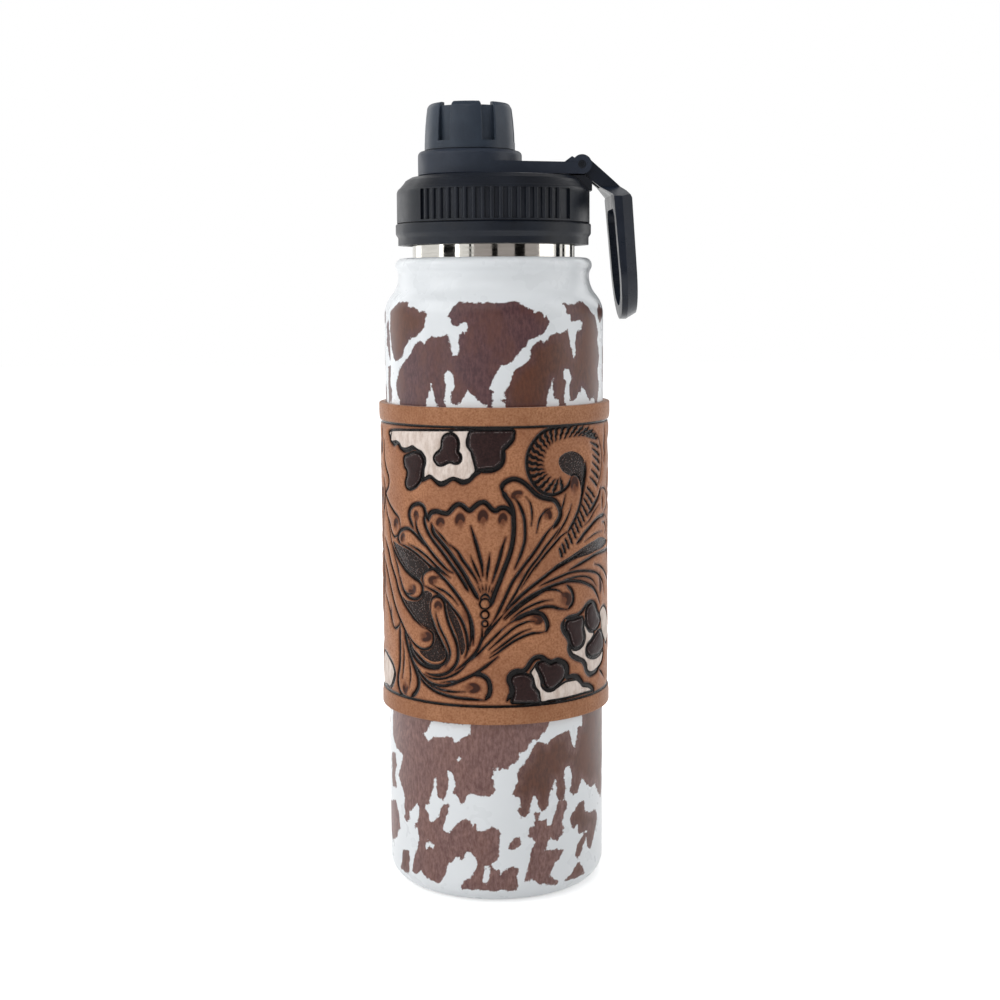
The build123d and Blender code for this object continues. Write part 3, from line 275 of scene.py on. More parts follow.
# The print: its patches, and the holes in them
PATCHES = table("""
1 -703 1932 58 20 35 13 86 0 16 -16 24 -3 22 -6 22 3 14 -10 27 5 25 -5 6 -6 -13 -16 0 -12 -13 -13
-14 -16 -20 -7 -14 -9 -45 -4 -16 -16 -34 -13 -9 -17 -20 -19 -30 -7 -33 -8 -24 16 -27 23 -27 64;
0 -586 1755 38 17 44 20 24 23 23 16 28 10 21 4 13 -10 19 10 25 10 30 -3 35 6 28 6 11 -6 5 -19 10
-25 6 -16 21 1 3 22 3 31 10 13 16 6 15 -6 6 19 -10 15 -21 0 -11 -12 -15 3 -16 3 -11 19 -21 9 11 13
27 15 16 13 92 1 123 0 70 1 40 -6 42 -13 21 -6 5 -10 27 6 17 -3 5 -16 17 6 11 -15 -5 -16 -17 -16
-17 -12 -17 -9 -27 -3 -31 -6 -11 -19 -31 -12 -10 -10 -15 -15 -15 -13 -25 -9 -25 -3 -15 -9 -15 -13
-15 -16 -5 -18 -10 -13 15 -13 -3 -25 -8 -32 -20 0 0 16 -25 0 -9 10 -20 3 -5 13 -21 6 -15 15 -10
-12 -21 -19 -11 -10 -26 -7 -22 7 1 38 16 16 -10 34 -16 13 -22 -7 -11 -6 5 -19 11 -13 -6 -22 -6 -22
0 -16 16 -19 -51 -1 -6 22 -11 3 -6 23 -12 22 -5 15 -7 -25 -19 -17 -14 -16 6 -29 -205 -12 1 39 -32
15 -10 23 13 26 23 27;
1 353 1960 19 6 28 -13 36 3 31 6 51 0 29 -16 43 -17 52 -20 16 -26 14 -25 -11 -22 22 -24 16 -26 -11
-29 -21 -16 6 -25 19 -23 -8 -29 -16 -24 4 -28 -32 0 -23 40 -48 -8 -31 14 -19 20 -27 17 -17 -22 -24
-18 -23 -9 -29 1 0 51 15 22 -14 20 -14 9 -27 -5 0 -23 20 -10 -14 -28 -6 -26 6 -16 21 -13 -59 1 0
23 -19 0 -12 20 -6 25 0 23 -12 -22 -11 -22 -12 -23 0 -25 -215 -3 0 25 -30 4 40 3 -10 12 -10 4 15
22 15 18 15 19 11 16 25 15 31 9 21 10 5 25 11 19 21 12 22 6 11 -10 17 10 23 12 36 6 37 3 33 9 14
-26 7 -22 21 -20 15 3 0 39 15 22 24 3 17 12 -9 19 -40 1 -43 -3 0 16 -28 10 0 16;
1 665 1932 37 22 90 -14 -22 -32 -68 -16 -36 17;
0 -781 1885 50 27 22 -71 4 -66 -46 26;
1 -756 1754 58 2 -13 -63 24 -16 -3 -39 -54 -2;
0 -742 629 -10 -123 55 -26 43 -17 38 6 10 -16 -24 -31 -28 -39 37 -29 21 -21 10 -26 -11 -22 10 -19
-12 -23 31 -5 29 15 -8 19 44 21 25 17 16 -5 -1 -31 -8 -18 -25 -17 0 -14 24 0 7 -16 -8 -39 -26 -38
-18 -38 -9 -22 17 -8 33 6 23 14 22 -14 42 -8 52 -4 19 9 12 15 12 15 7 24 17 12 23 6 12 14 22 5 5
-10 17 5 11 14 -5 10 21 1 26 -9 16 -9 5 -20 -11 -21 -16 -21 -32 -15 -22 -22 -5 -11 101 -1 103 1 93
0 -5 18 -5 24 16 19 0 14 -31 4 -37 -5 -20 -17 -11 -13 -5 27 -30 7 -16 16 21 1 20 6 6 37 0 34 -5 14
16 6 -11 14 -20 3 -10 10 -21 -10 -46 -8 -16 3 1 21 -16 -1 -11 -17 -5 26 -37 5 -22 -4 -22 -19 -23
-15 -23 -12 -23 5 0 24 12 21 12 21 12 21 -11 6 -18 -5 -18 -8 -12 -21 -19 -23 -20 -15 -26 -3 -6 26
-27 17 14 12 20 2 1 24 14 29 13 35 13 8 6 -26 5 -34 18 -8 18 -12 12 25 12 28 7 24 -12 12 1 21 22
-2 17 -9 11 -26 -12 -21 -5 -14 16 -6 11 -12 16 -16 22 8 6 20 21 18 21 -13 31 -2 51 1 21 3 10 17
-10 13 0 20 -10 4 11 20 0 20 20 0 10 -11 41 3 10 10 26 6 16 16 5 16 32 9 21 19 22 12 33 4 11 13 23
8 18 16 11 15 13 73;
1 494 654 0 -85 -34 -6 -8 -22 -16 -43 -22 7 -8 31 -14 29 -21 -1 -40 -10 -38 -3 -24 -8 -23 -11 -29
12 -33 -8 -22 -18 -16 -23 -22 -25 -16 -13 -21 -16 5 -27 -15 -19 -21 -23 21 -4 26 -11 5 -24 -21 -9
10 -21 10 -17 16 6 16 9 16 9 0 14 11 26 11 19 17 -21 11 -21 11 -21 23 5 24 11 0 24 18 28 12 33 12
2 0 -31 13 -31 13 -12 26 -3 14 32 -7 35 -7 24 7 17 35 2 15 -32 -8 -26 -7 -23 15 -19 38 1 25 24 18
21 37 -23 43 -20 64 3 32 -30 66 -40 42 19 22 39 -15 35 26 28 35 13 11 35 -25 22 -27 12 17 36 28 24
-8 39 17 36 -10 38;
0 39 191 11 20 20 19 21 0 16 -4 5 -18 -10 -16 -32 -5 -15 7;
0 177 309 34 -3 -6 -26 40 0 0 -27 29 4 31 40 13 23 13 13 40 -4 7 -20 -21 -28 -13 -22 13 -22 -13
-22 -26 -14 -32 0 -18 12 -23 -21 -12 -23 47 2 37 -1 47 -2 -21 -22 -38 -19 -25 -24 -12 -19 37 -18
25 -7 -6 -13 -44 6 -42 8 -28 -1 -17 12 -28 9 -22 5 -21 -9 11 20 11 26 11 33 11 26 11 27 -11 14 -22
8 11 20 22 12 6 20;
1 399 265 30 23 40 19 44 0 10 -33 52 -16 80 0 17 -38 -32 -36 -28 -30 -37 -24 -32 16 -10 30 -29 -23
-18 -28 -34 -8 -16 16 16 28 34 23 47 12 31 5 -60 0 -35 -1 -17 30 -31 -2 -15 23;
1 363 54 51 24 38 21 25 10 27 -32 19 -25 -79 0;
1 -619 129 63 15 9 -30 -11 -44 -20 -17 -69 8 15 38;
0 -882 254 173 33 45 -34 11 -54 -47 -43 -91 -25 -91 34;
1 768 1812 21 10 22 -13 15 -27 -14 -30 11 -30 -13 -32 -24 8 -11 28 12 26 -17 26;
1 872 1802 21 24 32 5 26 -19 -7 -26 18 -25 -14 -28 -31 -4 -18 19 -19 17 4 19;
0 845 1900 23 21 37 12 33 -9 23 15 31 -9 11 -22 -22 -18 -31 6 -29 -15 -28 8 -27 -9;
0 905 1690 26 11 26 -11 30 7 25 -21 -8 -26 4 -38 -95 0 8 36 -23 20;
1 1014 1842 22 14 23 -15 -7 -26 -25 -3;
1 893 560 28 18 30 -7 18 -25 -16 -29 9 -28 -24 -21 -29 9 -13 26 9 28;
0 862 330 27 19 28 -11 15 -26 -17 -23 -10 -21 -26 -9 -21 22 8 25;
0 858 128 23 13 25 -8 8 -27 -21 -18 -29 6;
1 -785 441 87 15 13 -43 -36 -41 32 -36 -80 -14 -26 37
""")
HOLES = table("""
-382 606 63 2 86 -4 86 4 -6 -41 -37 -4 -22 -15 -16 -7 -22 18 -29 5 -41 -13 -37 0 -40 -17 -13 15
-21 8 35 11;
-404 201 20 -8 20 -8 -7 -14 -47 -3 7 18;
-79 134 20 4 5 -17 -5 -27 -16 -18 -21 3 6 24;
-224 481 12 14 10 -6;
417 1800 15 4 4 -8 -11 -9
""")
# Stamped hollows: azimuth in degrees, height, half width and half height in millimetres, and
# the side on which their painted shade is darkest, in degrees
SPOTS = table("""
-28.9 125.8 1.5 2 100;
-18.6 126.8 1.6 2.6 100;
-7.5 127.7 1.6 2.9 95;
2 127.2 1.4 2.4 100;
-43.5 127.4 1.1 2 95;
-53.4 119.8 1.4 1.6 135;
-32.8 107.3 2 1.4 150;
-47.6 104 2 1.8 -50;
-30.7 98.6 1.4 2 90;
-39.2 88.8 2.7 1.6 -20;
-53.2 70.7 1.2 2.4 -90;
-14.4 73.1 3 1.6 0;
9.2 135.2 1.9 1.6 120;
23.9 128.5 1.6 2 50;
40.6 136.9 1.6 3.2 95;
34.1 100.5 2.7 2.2 20;
17.5 95 2.7 1.6 10;
-59.7 123.8 1.3 2 110;
63.2 103.4 1.3 3 0;
-66.8 94.7 1 3 -90;
86 130 1.5 2.3 95;
84.3 149.8 1.6 2.2 -90
""")
# Broad brown shading: azimuth, height, half width and half height
SHADES = table("""
-28.4 71.7 4.7 0.8;
-1 105.2 1.7 4.7;
-10.4 84 2 1.7;
10 109.9 1.7 3;
-16.5 96.5 1.6 4;
-24 79 4 1.2
""")
# Beads: azimuth, height and radius
BEADS = table("""
-6.8 100.6 1.48;
-6.9 97.1 1.08;
-6.9 94.2 0.74
""")


# ---------------- curves on the unrolled wall

def on_wall(numbers, radius):
    """A curve's points in millimetres on the unrolled wall, from its first point and its steps."""
    pairs = np.cumsum(np.reshape(numbers, (-1, 2)), axis=0) / 10.0
    pairs[:, 0] = np.radians(pairs[:, 0]) * radius
    return pairs


def bend(before, start, end, after, t):
    """The cubic between two points of a curve, given their neighbours."""
    return 0.5 * (2 * start + (end - before) * t
                  + (2 * before - 5 * start + 4 * end - after) * t ** 2
                  + (3 * start - before - 3 * end + after) * t ** 3)


def with_ends(points):
    """The points of an open curve, with one more beyond each end."""
    return np.vstack([2 * points[0] - points[1], points, 2 * points[-1] - points[-2]])


def smooth(points, closed):
    """A smooth curve through the points, in runs of about one step."""
    ring = np.vstack([points[-1], points, points[:2]]) if closed else with_ends(points)
    out = []
    for before, start, end, after in zip(ring[:-3], ring[1:-2], ring[2:-1], ring[3:]):
        count = max(1, int(round(np.linalg.norm(end - start) / CURVE_STEP)))
        out.append(bend(before, start, end, after, (np.arange(count) / count)[:, None]))
    if not closed:
        out.append(ring[-2][None, :])
    return np.vstack(out)


def stations(points, places):
    """Points of a smooth curve at places counted in the numbers of its own points."""
    ends = with_ends(points)
    first = np.clip(places.astype(int), 0, len(points) - 2)
    before, start, end, after = (ends[first + number] for number in range(4))
    return bend(before, start, end, after, (places - first)[:, None])


class Wall:
    """A grid over an unrolled wall, on which distances to curves are kept."""

    def __init__(self, across, heights, reach):
        self.across, self.heights, self.reach = across, heights, reach
        self.shape = (len(heights), len(across))

    def field(self):
        return np.full(self.shape, self.reach, dtype=float)

    def window(self, low, high):
        """The part of the grid between two corners, with its places across and up."""
        first, last = np.searchsorted(self.across, (low[0], high[0]))
        bottom, top = np.searchsorted(self.heights, (low[1], high[1]))
        part = slice(bottom, top), slice(first, last)
        return part, self.across[None, first:last], self.heights[bottom:top, None]

    def near(self, field, points, closed=False, half_widths=None):
        """Lowers the field to the distance from a curve, less its half width there."""
        ends = np.roll(points, -1, axis=0) if closed else points[1:]
        starts = points if closed else points[:-1]
        if half_widths is None:
            half_widths = np.zeros(len(points))
        for start, end, half_width in zip(starts, ends, half_widths):
            corners = np.minimum(start, end) - self.reach, np.maximum(start, end) + self.reach
            part, u, v = self.window(*corners)
            u, v, run = u - start[0], v - start[1], end - start
            share = np.clip((u * run[0] + v * run[1]) / max(run @ run, 1e-9), 0, 1)
            gap = np.hypot(u - share * run[0], v - share * run[1]) - half_width
            np.minimum(field[part], gap, out=field[part])

    def inside(self, points):
        """The window around a closed curve, and which of its points lie inside."""
        part, u, v = self.window(points.min(axis=0), points.max(axis=0))
        odd = np.zeros((v.size, u.size), dtype=bool)
        for start, end in zip(points, np.roll(points, -1, axis=0)):
            if start[1] == end[1]:
                continue
            crosses = (v < start[1]) != (v < end[1])
            edge = start[0] + (v - start[1]) * (end[0] - start[0]) / (end[1] - start[1])
            odd ^= crosses & (u < edge)
        return part, odd

    def fill(self, outlines, holes=()):
        """The distance inside the outlines and outside the holes, and with a minus elsewhere."""
        gap = self.field()
        within = np.zeros(self.shape, dtype=bool)
        for curves, filled in ((outlines, True), (holes, False)):
            for curve in curves:
                self.near(gap, curve, True)
                part, odd = self.inside(curve)
                within[part][odd] = filled
        return np.where(within, gap, -gap)


def repeated(curves, shifts):
    """The curves, once for each shift round the wall."""
    return [curve + np.array([shift, 0.0]) for shift in shifts for curve in curves]


def rise(value, low, high):
    """A soft step from 0 to 1."""
    t = np.clip((value - low) / (high - low), 0, 1)
    return t * t * (3 - 2 * t)


# ---------------- meshes of revolution

def new_mesh(name, points, faces, flat=()):
    """An object from points and faces, all smooth but the flat ones."""
    mesh = bpy.data.meshes.new(name)
    mesh.from_pydata(points, [], faces)
    mesh.update()
    smooth_faces = np.ones(len(mesh.polygons), dtype=bool)
    smooth_faces[np.array(flat, dtype=int)] = False
    mesh.polygons.foreach_set("use_smooth", smooth_faces)
    piece = bpy.data.objects.new(name, mesh)
    bpy.context.scene.collection.objects.link(piece)
    return piece


def quads(grid):
    """The faces between the neighbouring rows and columns of a grid of points."""
    corners = [grid[:-1, :-1], grid[:-1, 1:], grid[1:, 1:], grid[1:, :-1]]
    return np.stack(corners, axis=-1).reshape(-1, 4).tolist()


def keep_attribute(piece, name, values):
    layer = piece.data.attributes.new(name, "FLOAT", "POINT")
    layer.data.foreach_set("value", np.ascontiguousarray(values, dtype=np.float32).ravel())


def arc(centre, radius, start, end, count):
    """Points of an arc in the profile plane, from one angle in degrees to another."""
    turns = np.radians(np.linspace(start, end, count))
    return [(centre[0] + radius * math.cos(a), centre[1] + radius * math.sin(a)) for a in turns]


def round_wall(radii, heights, turns):
    """Points at radii and heights, at turns from the front."""
    return np.stack([radii * np.sin(turns), -radii * np.cos(turns), heights + 0 * turns], axis=-1)


# ---------------- node materials

def tone(*levels):
    """A colour given in the eight-bit numbers that a screen shows, as the shaders' linear one."""
    parts = [level / 255 for level in levels]
    return *(v / 12.92 if v <= 0.04045 else ((v + 0.055) / 1.055) ** 2.4 for v in parts), 1.0


class Nodes:
    """Makes the nodes of a material or a world."""

    def __init__(self, owner, output):
        owner.use_nodes = True
        self.owner, self.tree = owner, owner.node_tree
        self.tree.nodes.clear()
        self.output = self.node(output)

    def node(self, kind, inputs=(), **settings):
        made = self.tree.nodes.new("ShaderNode" + kind)
        for key, value in settings.items():
            setattr(made, key, value)
        for key, value in dict(inputs).items():
            if isinstance(value, bpy.types.NodeSocket):
                self.tree.links.new(value, made.inputs[key])
            else:
                made.inputs[key].default_value = value
        return made

    def math(self, operation, first, second=0.0):
        return self.node("Math", {0: first, 1: second}, operation=operation).outputs[0]

    def seen(self):
        """1 for rays that show the surface, mirrored or through glass too, and 0 for light."""
        rays = self.node("LightPath").outputs
        seen = self.math("MAXIMUM", rays["Is Camera Ray"], rays["Is Glossy Ray"])
        return self.math("MAXIMUM", seen, rays["Is Transmission Ray"])

    def wear(self, shader):
        """Puts the shader on the surface."""
        self.tree.links.new(shader.outputs[0], self.output.inputs["Surface"])
        return self.owner


class Look(Nodes):
    """A material. Its colours are eight-bit numbers in threes, or linear ones in fours."""

    def __init__(self, name):
        super().__init__(bpy.data.materials.new(name), "OutputMaterial")
        self.place = self.node("TexCoord").outputs["Object"]

    def add(self, first, second):
        return self.math("ADD", first, second)

    def times(self, first, second):
        return self.math("MULTIPLY", first, second)

    def ramp(self, value, low, high, bottom=0.0, top=1.0):
        inputs = {0: value, 1: low, 2: high, 3: bottom, 4: top}
        return self.node("MapRange", inputs, interpolation_type="SMOOTHSTEP").outputs[0]

    def mix(self, share, *colours):
        """From one colour to another by a share, or by the ramp that a tuple gives."""
        if isinstance(share, tuple):
            share = self.ramp(*share)
        first, second = (tone(*c) if isinstance(c, tuple) and len(c) == 3 else c for c in colours)
        return self.node("Mix", {0: share, 6: first, 7: second}, data_type="RGBA").outputs[2]

    def stretched(self, x, y, z):
        return self.node("Mapping", {"Vector": self.place, "Scale": (x, y, z)}).outputs[0]

    def noise(self, scale, detail=3.0, place=None, rough=0.55):
        inputs = {"Vector": place or self.place, "Scale": scale, "Detail": detail,
                  "Roughness": rough}
        return self.node("TexNoise", inputs).outputs[0]

    def waver(self, amount, *noise):
        """Noise about nought."""
        return self.times(self.add(self.noise(*noise), -0.5), amount)

    def cells(self, scale):
        return self.node("TexVoronoi", {"Vector": self.place, "Scale": scale}).outputs[0]

    def kept(self, name):
        return self.node("Attribute", attribute_name=name).outputs["Fac"]

    def bump(self, relief, depth):
        return self.node("Bump", {"Height": relief, "Distance": depth, "Strength": 1.0}).outputs[0]

    def finish(self, colour, roughness, normal, **fixed):
        """The material, with values that are the same all over it given by their sockets' names."""
        inputs = {"Base Color": colour, "Roughness": roughness, "Normal": normal}
        for key, value in fixed.items():
            inputs[key.replace("_", " ").title().replace("Ior", "IOR")] = value
        return self.wear(self.node("BsdfPrincipled", inputs))


def moulded(name, dark, light, roughness, grain):
    """Moulded black plastic: a fine spark-eroded grain, faint flow marks and a little dust."""
    look = Look(name)
    fine = look.noise(grain, 2.0)
    colour = look.mix((look.noise(45.0, 4.0), 0.35, 0.7), dark, light)
    colour = look.mix((look.noise(900.0, 4.0), 0.66, 0.8, 0.0, 0.25), colour, (96, 98, 101))
    shine = look.ramp(look.noise(120.0, 3.0), 0.3, 0.7, roughness - 0.05, roughness + 0.06)
    shine = look.add(shine, look.ramp(fine, 0.3, 0.7, -0.03, 0.03))
    return look.finish(colour, shine, look.bump(fine, 0.00003), specular_ior_level=0.26)


def brushed(name, colour, roughness, stretch=(1.0, 1.0, 1.0)):
    """Bright steel with fine lines, which a stretch lays round it."""
    look = Look(name)
    lines = look.noise(900.0, 4.0, look.stretched(*stretch), 0.7)
    duller, dullest = (tuple(c - less for c in colour) for less in (16, 26))
    shade = look.mix((lines, 0.3, 0.75), colour, duller)
    shade = look.mix((look.noise(60.0), 0.45, 0.75, 0.0, 0.3), shade, dullest)
    shine = look.ramp(lines, 0.25, 0.75, roughness - 0.05, roughness + 0.08)
    return look.finish(shade, shine, look.bump(lines, 0.000006), metallic=1.0)


def rubber(name, dark, light, roughness):
    """Soft silicone rubber with a dull bloom."""
    look = Look(name)
    bloom = look.ramp(look.noise(80.0, 4.0), 0.35, 0.7)
    shine = look.ramp(bloom, 0.0, 1.0, roughness, roughness + 0.12)
    grain = look.bump(look.noise(1600.0, 2.0), 0.00002)
    return look.finish(look.mix(bloom, dark, light), shine, grain, specular_ior_level=0.35)


def enamel(name):
    """White enamel, with a satin print of cow-hide patches where the kept fields are above zero."""
    look = Look(name)
    colour = look.mix((look.noise(30.0, 4.0), 0.3, 0.75), (229, 233, 236), (224, 228, 231))
    hair = look.noise(1050.0, 4.0, look.stretched(1.0, 1.0, 0.42), 0.75)
    tuft = look.noise(120.0, 4.0, look.stretched(1.0, 1.0, 0.5), 0.65)
    fringe = look.waver(2.8, 620.0, 6.0, look.stretched(0.75, 0.75, 1.25), 0.9)
    spikes = look.waver(2.6, 380.0, 3.0, look.stretched(1.0, 1.0, 0.4), 0.7)
    ragged = look.add(fringe, spikes)
    strand = look.ramp(hair, 0.32, 0.7)

    plum = look.mix(strand, (66, 36, 41), (96, 62, 64))
    plum = look.mix((tuft, 0.42, 0.68, 0.0, 0.6), plum, (98, 58, 46))
    # A paler plum towards the foot, set by height
    paler_plum = look.mix(strand, (104, 68, 62), (152, 117, 108))
    height = look.node("SeparateXYZ", {0: look.place}).outputs[2]
    plum = look.mix((height, 0.08, 0.14, 0.6, 0.0), plum, paler_plum)
    umber = look.mix(strand, (69, 32, 16), (91, 49, 29))
    umber = look.mix((tuft, 0.42, 0.7, 0.0, 0.6), umber, (94, 45, 17))
    depth = look.add(look.kept("umber"), look.waver(5.0, 70.0, 3.0))
    umber = look.mix((depth, 0.3, 3.4, 0.6, 0.0), umber, plum)
    for field, hide in (("plum", plum), ("umber", umber)):
        colour = look.mix((look.add(look.kept(field), ragged), -0.07, 0.07), colour, hide)

    printed = look.ramp(look.math("MAXIMUM", look.kept("plum"), look.kept("umber")), -0.1, 0.1)
    shine = look.ramp(look.noise(140.0, 2.0), 0.2, 0.8, 0.26, 0.31)
    shine = look.add(shine, look.times(printed, 0.1))
    relief = look.times(printed, look.add(look.times(hair, 0.5), 0.5))
    return look.finish(colour, shine, look.bump(relief, 0.00001), specular_ior_level=0.46)


def leather(name):
    """Tooled leather: tan grain, blackened cuts and grounds, pale hair patches and dark blots."""
    look = Look(name)
    fields = ("cut", "ground", "cream", "blot", "shade_and_burnish", "border")
    cut, ground, cream, blot, shade_and_burnish, border = map(look.kept, fields)
    grain = look.noise(1500.0, 4.0, rough=0.65)
    pores = look.cells(1350.0)
    mottle = look.ramp(look.noise(70.0, 5.0), 0.3, 0.7)
    wobble = look.waver(0.22, 1400.0, 2.0)

    # The tan, with its grain, pores, burnishing and painted shade
    rim = look.mix(mottle, (159, 110, 79), (179, 128, 94))
    # Lighter on the plain borders, and on the beads' domes as a painted highlight
    tan = look.mix((border, 0.2, 0.8), look.mix(mottle, (163, 112, 82), (185, 130, 95)), rim)
    tan = look.mix((grain, 0.35, 0.72, 0.0, 0.75), tan, (126, 78, 50))
    tan = look.mix((pores, 0.02, 0.22, 0.32, 0.0), tan, (98, 58, 38))
    # Darker browns: burnishing with painted shade beside bold cuts, the hollows' painted shade and
    # broad shading
    tan = look.mix(look.times(look.ramp(shade_and_burnish, 0.05, 0.7), 0.8), tan, (92, 48, 31))
    tan = look.mix((look.add(shade_and_burnish, wobble), 0.6, 1.0, 0.0, 0.9), tan, (44, 22, 17))
    # Darker brown along every cut: antique residue and painted shade
    near_cut = look.ramp(look.add(cut, wobble), 0.0, 0.7, 0.7, 0.0)
    tan = look.mix(look.times(near_cut, look.ramp(border, 0.3, 0.9, 1.0, 0.25)), tan, (80, 42, 26))

    # The hair-on patches and the blots, each with a thin pale ring
    hairs = look.noise(620.0, 5.0, look.stretched(1.0, 1.0, 0.35), 0.7)
    pale = look.mix((hairs, 0.35, 0.72), (231, 218, 209), (197, 178, 165))
    colour = look.mix((look.add(cream, wobble), -0.05, 0.1), tan, pale)
    ring = look.times(look.times(look.ramp(blot, 0.55, 0.7), look.ramp(blot, 0.72, 0.87, 1.0, 0.0)),
                      look.ramp(look.noise(1300.0, 2.0), 0.4, 0.62, 0.0, 0.5))
    hide = look.mix(ring, look.mix((grain, 0.3, 0.75), (33, 18, 18), (52, 32, 31)), (150, 142, 140))
    on_blot = look.ramp(look.add(blot, wobble), -0.05, 0.1)
    colour = look.mix(on_blot, colour, hide)

    # The blackened grounds with their stipple, and black wax in the cuts with painted highlights at
    # its edges
    stipple = look.ramp(look.cells(1500.0), 0.05, 0.5)
    on_ground = look.ramp(look.add(ground, wobble), -0.05, 0.12)
    colour = look.mix(on_ground, colour, look.mix(stipple, (94, 64, 53), (29, 18, 15)))
    wax = look.mix((look.noise(420.0, 4.0), 0.45, 0.75), (12, 8, 8), (24, 20, 20))
    # Pale grey painted highlight in broken lines near the cuts' edges
    painted_glint = look.times(look.ramp(cut, -0.22, -0.14), look.ramp(cut, -0.12, -0.04, 1.0, 0.0))
    painted_glint = look.times(painted_glint, look.ramp(look.noise(330.0, 3.0), 0.52, 0.66, 0.0, 0.35))
    on_cut = look.ramp(look.add(cut, wobble), -0.12, 0.06, 1.0, 0.0)
    colour = look.mix(on_cut, colour, look.mix(painted_glint, wax, (112, 112, 118)))

    shine = look.ramp(grain, 0.3, 0.75, 0.44, 0.6)
    shine = look.add(shine, look.times(look.math("MAXIMUM", on_cut, on_ground), -0.2))
    shine = look.add(shine, look.ramp(cut, 0.0, 0.9, -0.08, 0.0))
    shine = look.add(shine, look.times(look.ramp(cream, -0.05, 0.1), 0.12))
    relief = look.add(look.times(grain, 0.35), look.times(look.ramp(pores, 0.0, 0.25), 0.25))
    relief = look.add(relief, look.times(look.times(on_ground, stipple), -2.4))
    relief = look.add(relief, look.times(on_blot, look.times(look.noise(900.0, 2.0), 0.8)))
    relief = look.add(relief, look.ramp(cut, -0.4, 0.15, -3.6, 0.0))
    return look.finish(colour, shine, look.bump(relief, 0.00012), specular_ior_level=0.13,
                       sheen_weight=0.26, sheen_roughness=0.3)


def thread(name):
    """Waxed linen thread: a lay of plies and a dull wax."""
    look = Look(name)
    inputs = {"Vector": look.place, "Scale": 900.0, "Distortion": 1.5, "Detail": 2.0}
    plies = look.node("TexWave", inputs, bands_direction="DIAGONAL").outputs[1]
    colour = look.mix(plies, (98, 66, 44), (140, 102, 70))
    colour = look.mix((look.noise(500.0), 0.45, 0.75, 0.0, 0.5), colour, (70, 46, 32))
    return look.finish(colour, look.ramp(plies, 0.0, 1.0, 0.45, 0.62), look.bump(plies, 0.00012))


def foam(name):
    """Closed-cell insulating foam."""
    look = Look(name)
    cells = look.cells(700.0)
    colour = look.mix((cells, 0.05, 0.5), (214, 209, 196), (236, 233, 224))
    return look.finish(colour, look.ramp(cells, 0.0, 0.6, 0.75, 0.9), look.bump(cells, 0.0002))


# Each material, what it is made of and the CAD nodes that wear it
LOOKS = (
    (moulded, "lid_plastic", ("lid_body", "lid_floor"), (10, 15, 23), (18, 25, 36), 0.4, 2600.0),
    (moulded, "collar_plastic", ("lid_collar",), (15, 20, 28), (23, 28, 37), 0.38, 2300.0),
    (moulded, "cap_plastic", ("spout_cap",), (42, 51, 63), (53, 63, 76), 0.36, 2500.0),
    (moulded, "arm_plastic", ("cap_arm",), (36, 43, 56), (46, 54, 67), 0.42, 2200.0),
    (moulded, "loop_plastic", ("carry_loop",), (17, 24, 36), (27, 35, 48), 0.32, 2000.0),
    (moulded, "pin_plastic", ("hinge_pin",), (24, 29, 36), (36, 41, 49), 0.3, 3000.0),
    (moulded, "spout_plastic", ("spout", "cap_cup", "cap_retainer"),
     (34, 35, 37), (44, 45, 48), 0.32, 3200.0),
    (brushed, "neck_steel", ("neck_ring",), (212, 209, 202), 0.07, (0.08, 0.08, 1.0)),
    (brushed, "liner_steel", ("inner_liner",), (206, 205, 201), 0.3, (0.05, 0.05, 1.0)),
    (brushed, "pan_steel", ("base_pan",), (198, 198, 196), 0.26),
    (brushed, "getter", ("getter",), (150, 146, 140), 0.5),
    (rubber, "seal_button", ("vacuum_seal",), (44, 45, 47), (58, 59, 61), 0.5),
    (rubber, "gasket_rubber", ("lid_gasket",), (196, 198, 198), (222, 224, 224), 0.4),
    (rubber, "cap_gasket_rubber", ("cap_gasket",), (188, 190, 191), (214, 216, 217), 0.42),
    (foam, "lid_foam", ("lid_insulation",)),
    (thread, "thread", ("seam_stitches",)),
)
for kind, look_name, wearers, *values in LOOKS:
    material = kind(look_name, *values)
    for node_name in wearers:
        for material_slot in NODES[node_name].material_slots:
            material_slot.material = material


# ---------------- the enamelled shell with its print

